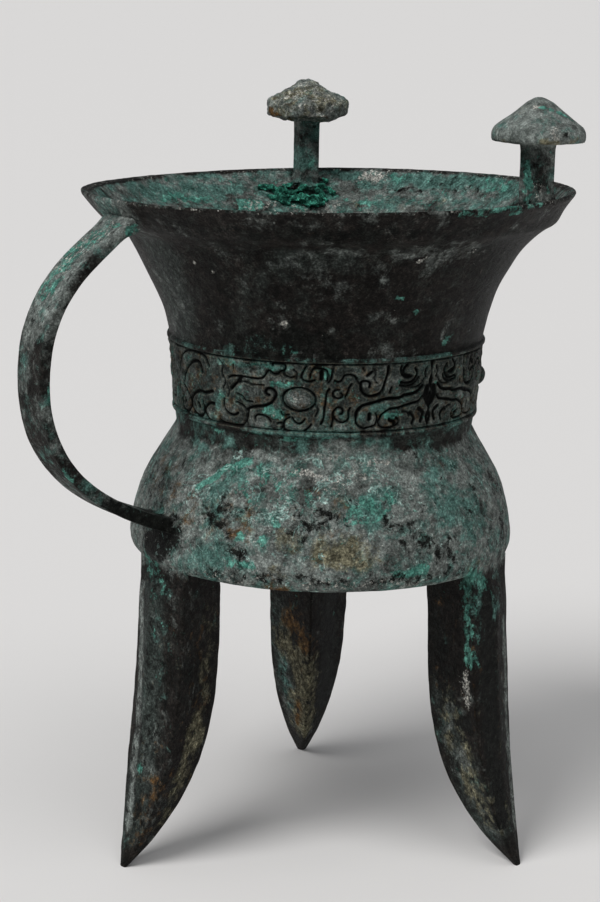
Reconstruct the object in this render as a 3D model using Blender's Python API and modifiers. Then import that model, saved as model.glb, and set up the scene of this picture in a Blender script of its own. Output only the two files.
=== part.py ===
"""A jia: an ancient Chinese bronze wine vessel, cast in one piece.

A flared mouth carries two upright posts with mushroom caps. Below the flare a band of
relief runs round the neck, then comes a bulging belly on three hollow legs of triangular
section, and a strap handle joins the flare to the belly above one of the legs.

Units are metres, +Z is up. The vessel stands on z = 0, its handle points to -X, and the
origin is in the middle of the ground that it covers, so the vessel's own axis is a
little way along +X.
"""

import math

import bmesh
import bpy
from mathutils import Matrix, Vector

NAME = "jia_vessel"

# Turned body: heights are given piece by piece, from the ground up.
LEG_HEIGHT = 0.1218
BELLY_HEIGHT = 0.0552
NECK_HEIGHT = 0.0066
BAND_HEIGHT = 0.0300
FLARE_HEIGHT = 0.0424
FLANGE_HEIGHT = 0.0050
RIM_HEIGHT = 0.0122

BELLY_RADIUS = 0.0795
SHOULDER_RADIUS = 0.0614
BAND_FOOT_RADIUS = 0.0616
BAND_HEAD_RADIUS = 0.0640
FLARE_RADIUS = 0.0824
FLANGE_RADIUS = 0.0910
MOUTH_RADIUS = 0.1005

WALL = 0.0028
FLOOR = 0.0034
LIP_DROP = 0.0009
RIM_THICKENING = 0.0010

# The belly is widest a little above its lower edge, and its underside sags.
BELLY_WIDEST_HEIGHT = 0.0097
BELLY_EDGE = 0.0042
UNDERSIDE_SAG = 0.0028
FLARE_POWER = 1.5

# Raised work of the band.
RIDGE_WIDTH = 0.0014
RIDGE_RISE = 0.0016
FIGURE_RISE = 0.0012
FIGURE_ROOT = 0.0009
FIGURE_SLOPE = 0.0002
PANEL_HALF_ANGLE = 13.0
EYE_HALF_WIDTH = 0.0050
EYE_HALF_HEIGHT = 0.0034
EYE_RISE = 0.0026
EYE_RING_WIDTH = 0.0016
EYE_RING_GAP = 0.0018

# Legs: one under the handle and one either side of +X.
LEG_ANGLES = (180, 60, -60)
LEG_HALF_WIDTH = 0.0177
LEG_OUTER_RADIUS = 0.0768
LEG_RIDGE = 0.0045
LEG_RIDGE_OFFSET = -0.0025
LEG_INNER_RADIUS = 0.0497
LEG_WALL = 0.0030
LEG_HOLLOW_BOTTOM = 0.0420
TIP_HALF_WIDTH = 0.0024
TIP_OUTER_RADIUS = 0.0944
TIP_RIDGE = 0.0007
TIP_INNER_RADIUS = 0.0912

# Strap handle. Its top hangs below the rim and its foot sits above the legs.
HANDLE_WIDTH = 0.0180
HANDLE_REACH = 0.1365
HANDLE_TOP_DROP = 0.0076
HANDLE_WIDEST_DROP = 0.0685
HANDLE_FOOT_HEIGHT = 0.0184
HANDLE_TOP_THICKNESS = 0.0046
HANDLE_MIDDLE_THICKNESS = 0.0043
HANDLE_FOOT_THICKNESS = 0.0056
HANDLE_TOP_SLOPE = 37.8
HANDLE_FOOT_SLOPE = 18.5

# Posts and their caps.
POST_ANGLE = 62.2
POST_SIDE = 0.0094
POST_TWIST = 15.0
POST_RISE = 0.0243
POST_EDGE = 0.0008
CAP_RADIUS = 0.0184
CAP_HEIGHT = 0.0175

# How finely the curved shapes are divided.
TURNED_STEPS = 48
CAP_STEPS = 16
BELLY_STEPS = 8
FLARE_STEPS = 6
RIM_STEPS = 2
FIGURE_STEP = 0.0040
MERGE = 0.00005

BAND_FOOT_Z = LEG_HEIGHT + BELLY_HEIGHT + NECK_HEIGHT
SHOULDER_Z = LEG_HEIGHT + BELLY_HEIGHT
BAND_HEAD_Z = BAND_FOOT_Z + BAND_HEIGHT
FLANGE_Z = BAND_HEAD_Z + FLARE_HEIGHT + FLANGE_HEIGHT
RIM_Z = FLANGE_Z + RIM_HEIGHT
AXIS_X = (HANDLE_REACH - MOUTH_RADIUS) / 2
POST_RADIUS = MOUTH_RADIUS - WALL - POST_SIDE * 0.66

# Each dragon of the band as strokes. A stroke is its widths at both ends, in metres, and
# the points of its middle line as shares of the dragon's length, from the handle round to
# the front, and of the height between the band's two ridges.
DRAGON_STROKES = {
    "upper_jaw": (0.0040, 0.0016, [
        (0.06, 0.80), (0.16, 0.82), (0.225, 0.83), (0.26, 0.90), (0.30, 0.92)]),
    "snout": (0.0046, 0.0014, [
        (0.07, 0.50), (0.17, 0.46), (0.25, 0.42), (0.295, 0.50), (0.275, 0.60), (0.245, 0.59)]),
    "chin_curl": (0.0016, 0.0024, [
        (0.03, 0.10), (0.09, 0.06), (0.14, 0.12), (0.125, 0.25), (0.075, 0.27), (0.065, 0.18)]),
    "throat_curl": (0.0014, 0.0022, [
        (0.17, 0.06), (0.175, 0.18), (0.215, 0.24), (0.262, 0.15), (0.235, 0.08)]),
    "cheek_hook": (0.0016, 0.0020, [
        (0.325, 0.24), (0.34, 0.10), (0.395, 0.06), (0.44, 0.12), (0.442, 0.25)]),
    "crest": (0.0014, 0.0026, [
        (0.415, 0.80), (0.43, 0.91), (0.47, 0.93), (0.512, 0.84), (0.505, 0.60), (0.495, 0.30),
        (0.48, 0.06)]),
    "back_hook": (0.0030, 0.0014, [
        (0.765, 0.92), (0.76, 0.69), (0.71, 0.56), (0.666, 0.65), (0.668, 0.82), (0.71, 0.86)]),
    "tail": (0.0036, 0.0016, [
        (0.98, 0.55), (0.876, 0.47), (0.753, 0.42), (0.68, 0.37), (0.645, 0.22), (0.68, 0.09),
        (0.722, 0.15), (0.708, 0.24)]),
    "tail_fin": (0.0030, 0.0016, [
        (0.97, 0.36), (0.88, 0.31), (0.81, 0.30), (0.765, 0.18), (0.80, 0.07), (0.838, 0.13)]),
    "rear_spiral": (0.0030, 0.0014, [
        (0.98, 0.76), (0.93, 0.65), (0.865, 0.65), (0.815, 0.78), (0.845, 0.91), (0.905, 0.90),
        (0.905, 0.79)]),
}
DRAGON_EYE = (0.395, 0.485)

# Half of the panel behind the handle, drawn the same way from its middle outwards.
PANEL_STROKES = {
    "roundel": (0.0016, 0.0026, [
        (0.10, 0.40), (0.30, 0.46), (0.50, 0.34), (0.52, 0.16), (0.32, 0.08), (0.17, 0.20),
        (0.30, 0.30)]),
    "arch": (0.0018, 0.0026, [
        (0.08, 0.66), (0.24, 0.84), (0.55, 0.88), (0.86, 0.74), (0.94, 0.56)]),
}

# A cap's half outline from its peak down to its underside, as shares of radius and height.
CAP_OUTLINE = [
    (0.0, 1.0), (0.10, 0.975), (0.21, 0.92), (0.32, 0.85), (0.53, 0.66), (0.76, 0.475),
    (0.90, 0.37), (0.975, 0.26), (1.0, 0.16), (0.985, 0.05), (0.94, 0.0), (0.0, 0.0),
]


def mix(start, end, share):
    """A value part of the way from start to end."""
    return start + (end - start) * share


def link(name, data, collection):
    """Makes an object from mesh data and links it."""
    thing = bpy.data.objects.new(name, data)
    collection.objects.link(thing)
    return thing


def link_bmesh(name, bm, collection):
    """Makes an object from a bmesh, with its faces pointing out."""
    bmesh.ops.recalc_face_normals(bm, faces=bm.faces)
    mesh = bpy.data.meshes.new(name)
    bm.to_mesh(mesh)
    bm.free()
    return link(name, mesh, collection)


def around(radius, degrees, z):
    """A point at a distance and an angle round the vessel's own axis."""
    turn = math.radians(degrees)
    return Vector((AXIS_X + radius * math.cos(turn), radius * math.sin(turn), z))


def turned(name, line, steps, collection):
    """A solid of revolution: a half outline in radius and height, spun round its own z axis."""
    mesh = bpy.data.meshes.new(name)
    mesh.from_pydata([(p[0], 0.0, p[1]) for p in line],
                     [(i, i + 1) for i in range(len(line) - 1)], [])
    thing = link(name, mesh, collection)
    spin = thing.modifiers.new("spin", "SCREW")
    spin.steps = steps
    spin.render_steps = steps
    spin.use_merge_vertices = True
    spin.merge_threshold = MERGE
    return thing


def loft(name, rings, collection):
    """A closed solid through rings of corners that all have the same count."""
    bm = bmesh.new()
    rows = [[bm.verts.new(point) for point in ring] for ring in rings]
    count = len(rows[0])
    for lower, upper in zip(rows, rows[1:]):
        for i in range(count):
            j = (i + 1) % count
            bm.faces.new((lower[i], lower[j], upper[j], upper[i]))
    bm.faces.new(rows[0])
    bm.faces.new(rows[-1])
    return link_bmesh(name, bm, collection)


def bezier(start, start_pull, end_pull, end, steps):
    """Points along one cubic Bezier span, both ends included."""
    out = []
    for i in range(steps + 1):
        t = i / steps
        s = 1 - t
        out.append(start * s**3 + start_pull * 3 * s * s * t + end_pull * 3 * s * t * t + end * t**3)
    return out


def spline_point(before, start, end, after, t):
    """A point on the smooth span between start and end."""
    return 0.5 * (2 * start + (end - before) * t
                  + (2 * before - 5 * start + 4 * end - after) * t * t
                  + (3 * start - before - 3 * end + after) * t**3)


def smooth_path(points, spacing):
    """Evenly spaced samples of a smooth curve through the given points."""
    vectors = [Vector(p) for p in points]
    ends = [vectors[0] * 2 - vectors[1]] + vectors + [vectors[-1] * 2 - vectors[-2]]
    parts = 12
    fine = []
    for i in range(len(vectors) - 1):
        for j in range(parts):
            fine.append(spline_point(*ends[i:i + 4], j / parts))
    fine.append(vectors[-1])
    lengths = [0.0]
    for a, b in zip(fine, fine[1:]):
        lengths.append(lengths[-1] + (b - a).length)
    pieces = max(3, round(lengths[-1] / spacing))
    out = []
    j = 0
    for i in range(pieces + 1):
        want = lengths[-1] * i / pieces
        while j < len(lengths) - 2 and lengths[j + 1] < want:
            j += 1
        out.append(fine[j].lerp(fine[j + 1], (want - lengths[j]) / (lengths[j + 1] - lengths[j])))
    return out


def oval(centre, half_width, half_height, steps):
    """Points round an ellipse, anticlockwise."""
    out = []
    for i in range(steps):
        turn = 2 * math.pi * i / steps
        out.append(centre + Vector((half_width * math.cos(turn), half_height * math.sin(turn))))
    return out


def offset_line(points, distance):
    """A polyline moved sideways, to its right where the distance is positive."""
    last = len(points) - 1
    out = []
    for i, point in enumerate(points):
        first = (points[max(i, 1)] - points[max(i, 1) - 1]).normalized()
        second = (points[min(i, last - 1) + 1] - points[min(i, last - 1)]).normalized()
        first_normal = Vector((first.y, -first.x))
        second_normal = Vector((second.y, -second.x))
        middle = (first_normal + second_normal).normalized()
        out.append(point + middle * distance / middle.dot(first_normal))
    return out


def inset_polygon(points, distance):
    """A convex polygon, given anticlockwise, with each side moved inwards."""
    closed = [points[-1]] + points + [points[0]]
    return offset_line(closed, -distance)[1:-1]


def flare_line():
    """The outer side of the mouth, from the lip's corner down to the foot of the flare."""
    out = []
    for i in range(RIM_STEPS + 1):
        share = 1 - i / RIM_STEPS
        out.append(Vector((mix(FLANGE_RADIUS, MOUTH_RADIUS, share**0.88),
                           mix(FLANGE_Z, RIM_Z - LIP_DROP, share))))
    for i in range(FLARE_STEPS):
        share = 1 - i / FLARE_STEPS
        out.append(Vector((mix(BAND_HEAD_RADIUS, FLARE_RADIUS, share**FLARE_POWER),
                           mix(BAND_HEAD_Z, FLANGE_Z - FLANGE_HEIGHT, share))))
    return out


def belly_line():
    """The belly's outer side, from the shoulder crease down to its widest part."""
    out = []
    for i in range(BELLY_STEPS + 1):
        share = i / BELLY_STEPS
        out.append(Vector((mix(SHOULDER_RADIUS, BELLY_RADIUS, math.sin(share * math.pi / 2)),
                           mix(SHOULDER_Z, LEG_HEIGHT + BELLY_WIDEST_HEIGHT, share))))
    return out


def underside_line():
    """The rounded lower edge of the belly and its sagging underside, ending on the axis."""
    out = []
    for degrees in (25, 50, 75):
        turn = math.radians(degrees)
        out.append(Vector((BELLY_RADIUS - BELLY_EDGE * (1 - math.cos(turn)),
                           LEG_HEIGHT + mix(BELLY_WIDEST_HEIGHT, UNDERSIDE_SAG, math.sin(turn)))))
    for share in (0.6, 0.0):
        out.append(Vector(((BELLY_RADIUS - BELLY_EDGE) * share, LEG_HEIGHT + UNDERSIDE_SAG * share**2)))
    return out


def ridge_line(radius, z):
    """A low ridge round the band, centred on a height, read downwards."""
    crest = radius + RIDGE_RISE
    return [Vector((radius, z + RIDGE_WIDTH)), Vector((crest, z + RIDGE_WIDTH * 0.35)),
            Vector((crest, z - RIDGE_WIDTH * 0.35)), Vector((radius, z - RIDGE_WIDTH))]


def plain_line():
    """The whole outer side without the band's ridges, top to bottom."""
    band = [Vector((BAND_HEAD_RADIUS, BAND_HEAD_Z)), Vector((BAND_FOOT_RADIUS, BAND_FOOT_Z))]
    return flare_line() + band + belly_line() + underside_line()


def outer_line():
    """The whole outer side with the band's ridges, top to bottom."""
    band = (ridge_line(BAND_HEAD_RADIUS, BAND_HEAD_Z - RIDGE_WIDTH)
            + ridge_line(BAND_FOOT_RADIUS, BAND_FOOT_Z + RIDGE_WIDTH))
    return flare_line() + band + belly_line() + underside_line()


def inner_line():
    """The inner side from the lip down to the middle of the floor."""
    wall = offset_line(plain_line(), WALL)
    rim = offset_line(plain_line(), WALL + RIM_THICKENING)
    lip = Vector((MOUTH_RADIUS - WALL - RIM_THICKENING / 2, RIM_Z - LIP_DROP * 0.7))
    flare_at = RIM_STEPS + 1
    band_at = flare_at + FLARE_STEPS
    flare = wall[flare_at:band_at:2]
    band = wall[band_at:band_at + 2]
    belly = wall[band_at + 2:band_at + 2 + BELLY_STEPS:2]
    edge_z = LEG_HEIGHT + UNDERSIDE_SAG + FLOOR
    floor = [Vector((BELLY_RADIUS - WALL * 1.2, edge_z + BELLY_EDGE / 2)),
             Vector(((BELLY_RADIUS - BELLY_EDGE) * 0.95, edge_z)),
             Vector((0.0, LEG_HEIGHT + FLOOR))]
    return [lip, rim[RIM_STEPS]] + flare + band + belly + floor


def outer_radius(z):
    """The outer radius of the plain wall at a height between its widest part and the lip."""
    line = plain_line()
    for upper, lower in zip(line, line[1:]):
        if upper.y >= z >= lower.y:
            return mix(upper.x, lower.x, (upper.y - z) / (upper.y - lower.y))
    return line[0].x


def mouth_wall_z(radius):
    """Height of the middle of the mouth's wall at a distance from the axis."""
    line = offset_line(flare_line(), WALL / 2)
    for outer, inner in zip(line, line[1:]):
        if outer.x >= radius >= inner.x:
            return mix(outer.y, inner.y, (outer.x - radius) / (outer.x - inner.x))
    return line[0].y


def make_body(collection):
    """The turned body with its hollow, spun in one go from the floor over the lip to the axis."""
    lip_top = Vector((MOUTH_RADIUS - WALL / 2, RIM_Z))
    body = turned(NAME, inner_line()[::-1] + [lip_top] + outer_line(), TURNED_STEPS, collection)
    body.location.x = AXIS_X
    return body


def leg_section(share):
    """Four corners of a leg at a share of its height, seen along its own radius."""
    slim = 1 - share
    outer = mix(LEG_OUTER_RADIUS, TIP_OUTER_RADIUS, slim**2.3)
    inner = mix(LEG_INNER_RADIUS, TIP_INNER_RADIUS, slim**3.8)
    half = mix(LEG_HALF_WIDTH, TIP_HALF_WIDTH, slim**4)
    ridge = mix(LEG_RIDGE, TIP_RIDGE, slim**2)
    return [Vector((outer, -half)), Vector((outer + ridge, LEG_RIDGE_OFFSET * (1 - slim**2))),
            Vector((outer, half)), Vector((inner, 0.0))]


def leg_root():
    """The leg's section where it meets the belly, with its outer ridge inside the belly's wall."""
    root = leg_section(1.0)
    root[1].x = min(root[1].x, BELLY_RADIUS - WALL / 2)
    return root


def stand(section, heights, degrees):
    """A section's corners at their heights, turned to a leg's place round the vessel."""
    turn = Matrix.Rotation(math.radians(degrees), 3, "Z")
    axis = Vector((AXIS_X, 0.0, 0.0))
    return [axis + turn @ Vector((p.x, p.y, z)) for p, z in zip(section, heights)]


def make_leg(degrees, collection):
    """One leg, from its small flat tip up into the belly's wall."""
    rings = []
    for share in (0.0, 0.04, 0.12, 0.25, 0.4, 0.6, 0.8):
        rings.append(stand(leg_section(share), [share * LEG_HEIGHT] * 4, degrees))
    edge_z = LEG_HEIGHT + BELLY_EDGE + UNDERSIDE_SAG / 2
    root_z = LEG_HEIGHT + (FLOOR + UNDERSIDE_SAG) / 2
    rings.append(stand(leg_root(), [edge_z, edge_z, edge_z, root_z], degrees))
    return loft(f"leg_{degrees % 360}", rings, collection)


def make_leg_hollow(degrees, collection):
    """The hollow of one leg, open into the belly."""
    lowest = LEG_HOLLOW_BOTTOM / LEG_HEIGHT
    rings = []
    for part in (0.0, 0.25, 0.6):
        share = mix(lowest, 1.0, part)
        section = inset_polygon(leg_section(share), LEG_WALL)
        rings.append(stand(section, [share * LEG_HEIGHT] * 4, degrees))
    mouth_z = LEG_HEIGHT + UNDERSIDE_SAG + FLOOR + WALL
    for z in (LEG_HEIGHT, mouth_z):
        rings.append(stand(inset_polygon(leg_root(), LEG_WALL), [z] * 4, degrees))
    return loft(f"leg_hollow_{degrees % 360}", rings, collection)


def handle_path():
    """The handle's outer line from the mouth to the belly, as distance from the axis and height."""
    top_z = RIM_Z - HANDLE_TOP_DROP
    foot_z = LEG_HEIGHT + HANDLE_FOOT_HEIGHT
    widest = Vector((HANDLE_REACH, RIM_Z - HANDLE_WIDEST_DROP))
    top = Vector((outer_radius(top_z), top_z))
    foot = Vector((outer_radius(foot_z) - WALL * 0.3, foot_z))
    rise = top.y - widest.y
    drop = widest.y - foot.y
    down = math.radians(-HANDLE_TOP_SLOPE)
    up = math.radians(HANDLE_FOOT_SLOPE)
    top_pull = top + Vector((math.cos(down), math.sin(down))) * rise * 0.43
    foot_pull = foot + Vector((math.cos(up), math.sin(up))) * (widest.x - foot.x) * 0.65
    upper = bezier(top, top_pull, widest + Vector((0.0, rise * 0.56)), widest, 9)
    lower = bezier(widest, widest - Vector((0.0, drop * 0.49)), foot_pull, foot, 10)
    return upper + lower[1:]


def make_handle(collection):
    """The strap handle: four corners carried along its outer line, with both ends in the wall."""
    path = handle_path()
    last = len(path) - 1
    rings = []
    for i, point in enumerate(path):
        along = (path[min(i + 1, last)] - path[max(i - 1, 0)]).normalized()
        share = 2 * i / last
        if share < 1:
            thickness = mix(HANDLE_TOP_THICKNESS, HANDLE_MIDDLE_THICKNESS, share)
        else:
            thickness = mix(HANDLE_MIDDLE_THICKNESS, HANDLE_FOOT_THICKNESS, share - 1)
        outer = point
        inner = point + Vector((along.y, -along.x)) * thickness
        if i in (0, last):
            into_wall = along * WALL * (0.5 if i else -0.5)
            outer = outer + into_wall
            inner = inner + into_wall
        ring = []
        for flat, side in ((outer, -1), (outer, 1), (inner, 1), (inner, -1)):
            ring.append(Vector((AXIS_X - flat.x, side * HANDLE_WIDTH / 2, flat.y)))
        rings.append(ring)
    return loft("handle", rings, collection)


def make_post(degrees, collection):
    """A square post whose foot follows the slope of the mouth's wall."""
    bm = bmesh.new()
    bmesh.ops.create_cube(bm, size=1)
    upright = [e for e in bm.edges if abs(e.verts[0].co.z - e.verts[1].co.z) > 0.5]
    bmesh.ops.bevel(bm, geom=upright, offset=POST_EDGE / POST_SIDE, segments=1, affect="EDGES")
    twist = math.copysign(POST_TWIST, degrees)
    turn = Matrix.Rotation(math.radians(degrees + twist), 3, "Z")
    centre = around(POST_RADIUS, degrees, 0.0)
    top_z = RIM_Z + POST_RISE + CAP_HEIGHT * 0.2
    for vert in bm.verts:
        flat = centre + turn @ Vector((vert.co.x * POST_SIDE, vert.co.y * POST_SIDE, 0.0))
        foot_z = mouth_wall_z(math.hypot(flat.x - AXIS_X, flat.y))
        vert.co = Vector((flat.x, flat.y, top_z if vert.co.z > 0 else foot_z))
    return link_bmesh(f"post_{'left' if degrees > 0 else 'right'}", bm, collection)


def make_cap(degrees, collection):
    """One mushroom cap, turned about its post."""
    line = [(CAP_RADIUS * r, CAP_HEIGHT * h) for r, h in CAP_OUTLINE]
    cap = turned(f"cap_{'left' if degrees > 0 else 'right'}", line, CAP_STEPS, collection)
    cap.location = around(POST_RADIUS, degrees, RIM_Z + POST_RISE)
    return cap


def band_place(start, direction):
    """A function that bends the flat band round the neck, from an angle on and one way round."""
    mean_radius = (BAND_FOOT_RADIUS + BAND_HEAD_RADIUS) / 2

    def place(point, lift):
        share = (point.y - BAND_FOOT_Z) / BAND_HEIGHT
        radius = mix(BAND_FOOT_RADIUS, BAND_HEAD_RADIUS, share) + lift
        return around(radius, start + direction * math.degrees(point.x / mean_radius), point.y)

    return place


def add_rows(bm, rows, closed_path=False):
    """Faces between rows of corners, with end faces unless the path closes on itself."""
    count = len(rows[0])
    pairs = list(zip(rows, rows[1:]))
    if closed_path:
        pairs.append((rows[-1], rows[0]))
    else:
        bm.faces.new(rows[0])
        bm.faces.new(rows[-1])
    for a, b in pairs:
        for i in range(count):
            j = (i + 1) % count
            bm.faces.new((a[i], a[j], b[j], b[i]))


def add_stroke(bm, line, widths, place, closed=False):
    """A raised ribbon along a line on the flat band."""
    last = len(line) - 1
    rows = []
    for i, point in enumerate(line):
        before = line[i - 1] if closed or i else point
        after = line[(i + 1) % (last + 1)] if closed or i < last else point
        along = (after - before).normalized()
        half = Vector((-along.y, along.x)) * mix(*widths, i / last) / 2
        top = half * (1 - FIGURE_SLOPE / half.length)
        corners = (place(point + half, -FIGURE_ROOT), place(point - half, -FIGURE_ROOT),
                   place(point - top, FIGURE_RISE), place(point + top, FIGURE_RISE))
        rows.append([bm.verts.new(corner) for corner in corners])
    add_rows(bm, rows, closed)


def add_eye(bm, centre, place):
    """A domed oval eyeball inside a raised ring."""
    reach = EYE_RING_GAP + EYE_RING_WIDTH / 2
    ring = oval(centre, EYE_HALF_WIDTH + reach, EYE_HALF_HEIGHT + reach, 12)
    add_stroke(bm, ring, (EYE_RING_WIDTH, EYE_RING_WIDTH), place, closed=True)
    rows = []
    for width, lift in ((1.0, -FIGURE_ROOT), (1.0, EYE_RISE * 0.3), (0.8, EYE_RISE * 0.75),
                        (0.4, EYE_RISE)):
        line = oval(centre, EYE_HALF_WIDTH * width, EYE_HALF_HEIGHT * width, 12)
        rows.append([bm.verts.new(place(point, lift)) for point in line])
    add_rows(bm, rows)


def make_band_figures(collection):
    """Four dragons in two facing pairs, and a small mirrored panel behind the handle."""
    low = BAND_FOOT_Z + 2 * RIDGE_WIDTH
    tall = BAND_HEIGHT - 4 * RIDGE_WIDTH
    mean_radius = (BAND_FOOT_RADIUS + BAND_HEAD_RADIUS) / 2
    dragon_length = math.radians(90 - PANEL_HALF_ANGLE / 2) * mean_radius
    panel_length = math.radians(PANEL_HALF_ANGLE) * mean_radius
    handle = 180
    bm = bmesh.new()
    for side in (1, -1):
        for start, direction in ((handle + side * PANEL_HALF_ANGLE, side), (0, side)):
            place = band_place(start, direction)
            for first, last, points in DRAGON_STROKES.values():
                flat = [(u * dragon_length, low + v * tall) for u, v in points]
                add_stroke(bm, smooth_path(flat, FIGURE_STEP), (first, last), place)
            u, v = DRAGON_EYE
            add_eye(bm, Vector((u * dragon_length, low + v * tall)), place)
        place = band_place(handle, side)
        for first, last, points in PANEL_STROKES.values():
            flat = [(u * panel_length, low + v * tall) for u, v in points]
            add_stroke(bm, smooth_path(flat, FIGURE_STEP), (first, last), place)
    return link_bmesh("band_figures", bm, collection)


def join(body, other, operation, overlaps=False):
    """Adds or cuts another closed shape by an exact Boolean."""
    step = body.modifiers.new(other.name, "BOOLEAN")
    step.operation = operation
    step.solver = "EXACT"
    step.use_self = overlaps
    step.object = other
    other.hide_render = True
    other.display_type = "WIRE"


def bronze():
    """Bronze under a dark green and grey patina."""
    material = bpy.data.materials.new("patinated_bronze")
    material.use_nodes = True
    shader = material.node_tree.nodes["Principled BSDF"]
    shader.inputs["Base Color"].default_value = (0.075, 0.085, 0.07, 1.0)
    shader.inputs["Metallic"].default_value = 0.55
    shader.inputs["Roughness"].default_value = 0.55
    return material


def settle(body):
    """Applies the modifiers, moves the origin to the floor and shades the round parts smooth."""
    bpy.context.view_layer.update()
    graph = bpy.context.evaluated_depsgraph_get()
    mesh = bpy.data.meshes.new_from_object(body.evaluated_get(graph))
    mesh.transform(body.matrix_world)
    body.modifiers.clear()
    body.data = mesh
    body.location = (0.0, 0.0, 0.0)
    mesh.name = NAME
    mesh.shade_smooth()
    mesh.set_sharp_from_angle(angle=math.radians(32))
    mesh.materials.clear()
    mesh.materials.append(bronze())


def main():
    """Clears the scene, then builds the vessel."""
    for old in list(bpy.data.objects):
        bpy.data.objects.remove(old, do_unlink=True)
    vessel = bpy.data.collections.new("jia")
    tools = bpy.data.collections.new("cutters")
    for collection in (vessel, tools):
        bpy.context.scene.collection.children.link(collection)
    body = make_body(vessel)
    join(body, make_handle(tools), "UNION")
    for degrees in LEG_ANGLES:
        join(body, make_leg(degrees, tools), "UNION")
    for degrees in LEG_ANGLES:
        join(body, make_leg_hollow(degrees, tools), "DIFFERENCE")
    for degrees in (POST_ANGLE, -POST_ANGLE):
        join(body, make_post(degrees, tools), "UNION")
        join(body, make_cap(degrees, tools), "UNION")
    join(body, make_band_figures(tools), "UNION", overlaps=True)
    settle(body)


main()
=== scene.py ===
# The jia wine vessel with its relief, corrosion and patina.
#
# One mesh carries the whole casting: the turned body with the band of relief, the three hollow
# legs, the strap handle, the two capped posts and the corrosion lumps inside the mouth.
# Shapes are worked out in millimetres round the vessel's own axis, with +Z up and the handle at
# 180 degrees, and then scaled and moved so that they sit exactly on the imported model.

import math

import bpy
import numpy as np
from mathutils import Matrix, Vector
from mathutils.bvhtree import BVHTree


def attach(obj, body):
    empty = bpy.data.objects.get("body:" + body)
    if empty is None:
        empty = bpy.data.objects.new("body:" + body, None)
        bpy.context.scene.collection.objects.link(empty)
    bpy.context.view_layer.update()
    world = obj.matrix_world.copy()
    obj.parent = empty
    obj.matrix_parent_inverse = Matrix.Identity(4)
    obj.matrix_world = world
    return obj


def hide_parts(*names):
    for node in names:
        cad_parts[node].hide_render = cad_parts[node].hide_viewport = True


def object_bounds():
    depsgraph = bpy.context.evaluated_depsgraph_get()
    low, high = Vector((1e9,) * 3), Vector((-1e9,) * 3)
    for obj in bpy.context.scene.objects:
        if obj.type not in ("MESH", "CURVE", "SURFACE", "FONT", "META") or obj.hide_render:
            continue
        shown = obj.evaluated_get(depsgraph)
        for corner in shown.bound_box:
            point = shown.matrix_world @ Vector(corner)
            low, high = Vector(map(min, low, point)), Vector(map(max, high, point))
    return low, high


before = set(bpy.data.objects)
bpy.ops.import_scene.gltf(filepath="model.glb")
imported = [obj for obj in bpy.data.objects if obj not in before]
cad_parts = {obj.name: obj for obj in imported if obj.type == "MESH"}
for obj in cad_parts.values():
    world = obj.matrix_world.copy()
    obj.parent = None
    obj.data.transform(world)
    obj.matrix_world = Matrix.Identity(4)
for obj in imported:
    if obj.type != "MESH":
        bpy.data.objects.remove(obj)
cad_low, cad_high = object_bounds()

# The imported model's box gives the scale and the place.
MOUTH = 100.5
MM = (cad_high[1] - cad_low[1]) / 2 / MOUTH
AXIS_X = cad_high[0] - MOUTH * MM

# The camera: the side, distance and height that it stands at, where it points, and its focal
# length in pixels of the 600 x 902 picture. Then the sides of the vessel, in whole degrees, that
# face the camera and the picture's right.
CAMERA_AZIMUTH = 235.9
CAMERA_DISTANCE = 921.7
CAMERA_HEIGHT = 363.3
CAMERA_HEADING = -33.52
CAMERA_PITCH = -12.19
CAMERA_ROLL = 1.12
FOCAL_PIXELS = 2259.84
PHOTO_FRONT = 236
PHOTO_RIGHT = 326
IMAGE_WIDTH = 600
IMAGE_HEIGHT = 902

# Turned body, as radius and height: the outer side from the underside up to the lip, then the
# inner side down to the floor. The belly's lower edge is rounded; the rounding is EDGE_ROUND wide
# and ends EDGE_RISE above the legs' top.
LEG_HEIGHT = 121.8
EDGE_RADIUS = 75.3
UNDERSIDE_SAG = 2.8
EDGE_RISE = 9.7
EDGE_ROUND = 4.2
BELLY = [(79.5, 131.5), (79.45, 134), (78.5, 140), (77.1, 146), (74.9, 153), (71.7, 160),
         (67.3, 167), (64.1, 172), (61.9, 176)]
NECK = [(61.3, 177.2), (61.3, 178.4), (61.6, 180.6), (61.7, 182.6)]
BAND_FOOT = 183.6
BAND_HEAD = 213.6
FOOT_RADIUS = 61.6
HEAD_RADIUS = 64.0
FLARE = [(64.6, 215.4), (65.1, 218), (66.9, 225), (69.6, 231.5), (72.7, 238), (75.6, 244),
         (78.7, 250), (82.3, 255.8), (86.2, 258.9), (90.6, 261.0), (93.6, 263.8), (97.1, 267.8),
         (99.9, 271.3)]
LIP = [(100.45, 272.2), (100.35, 272.8), (99.7, 273.2), (98.8, 273.15), (97.9, 272.8)]
INNER = [(97.2, 272.3), (94.6, 269.7), (91.2, 266.3), (88.6, 263.7), (85.2, 261.3), (80.6, 258.3),
         (77.2, 253.6), (74.2, 248), (71.5, 243.2), (64.9, 228.7), (61.2, 214), (58.8, 183.8),
         (58.4, 177), (60.2, 173.2), (65.9, 164.2), (71.6, 153.1), (75.3, 142.2), (76.1, 131.4),
         (74.6, 129.2), (71.2, 128.0)]
FLOOR = 125.2

# The band's two ridges, the relief between them and the round eye, in millimetres.
# GROOVE_WIDENING is a factor.
RIDGE_RISE = 1.5
RIDGE_WIDTH = 0.75
LOWER_RIDGE = 184.3
UPPER_RIDGE = 213.4
RELIEF_RISE = 1.25
RELIEF_CUT = 0.35
GROOVE_WIDENING = 1.05
GROOVE_SHIFT = 1.3
EYE_RISE = 3.3

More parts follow.
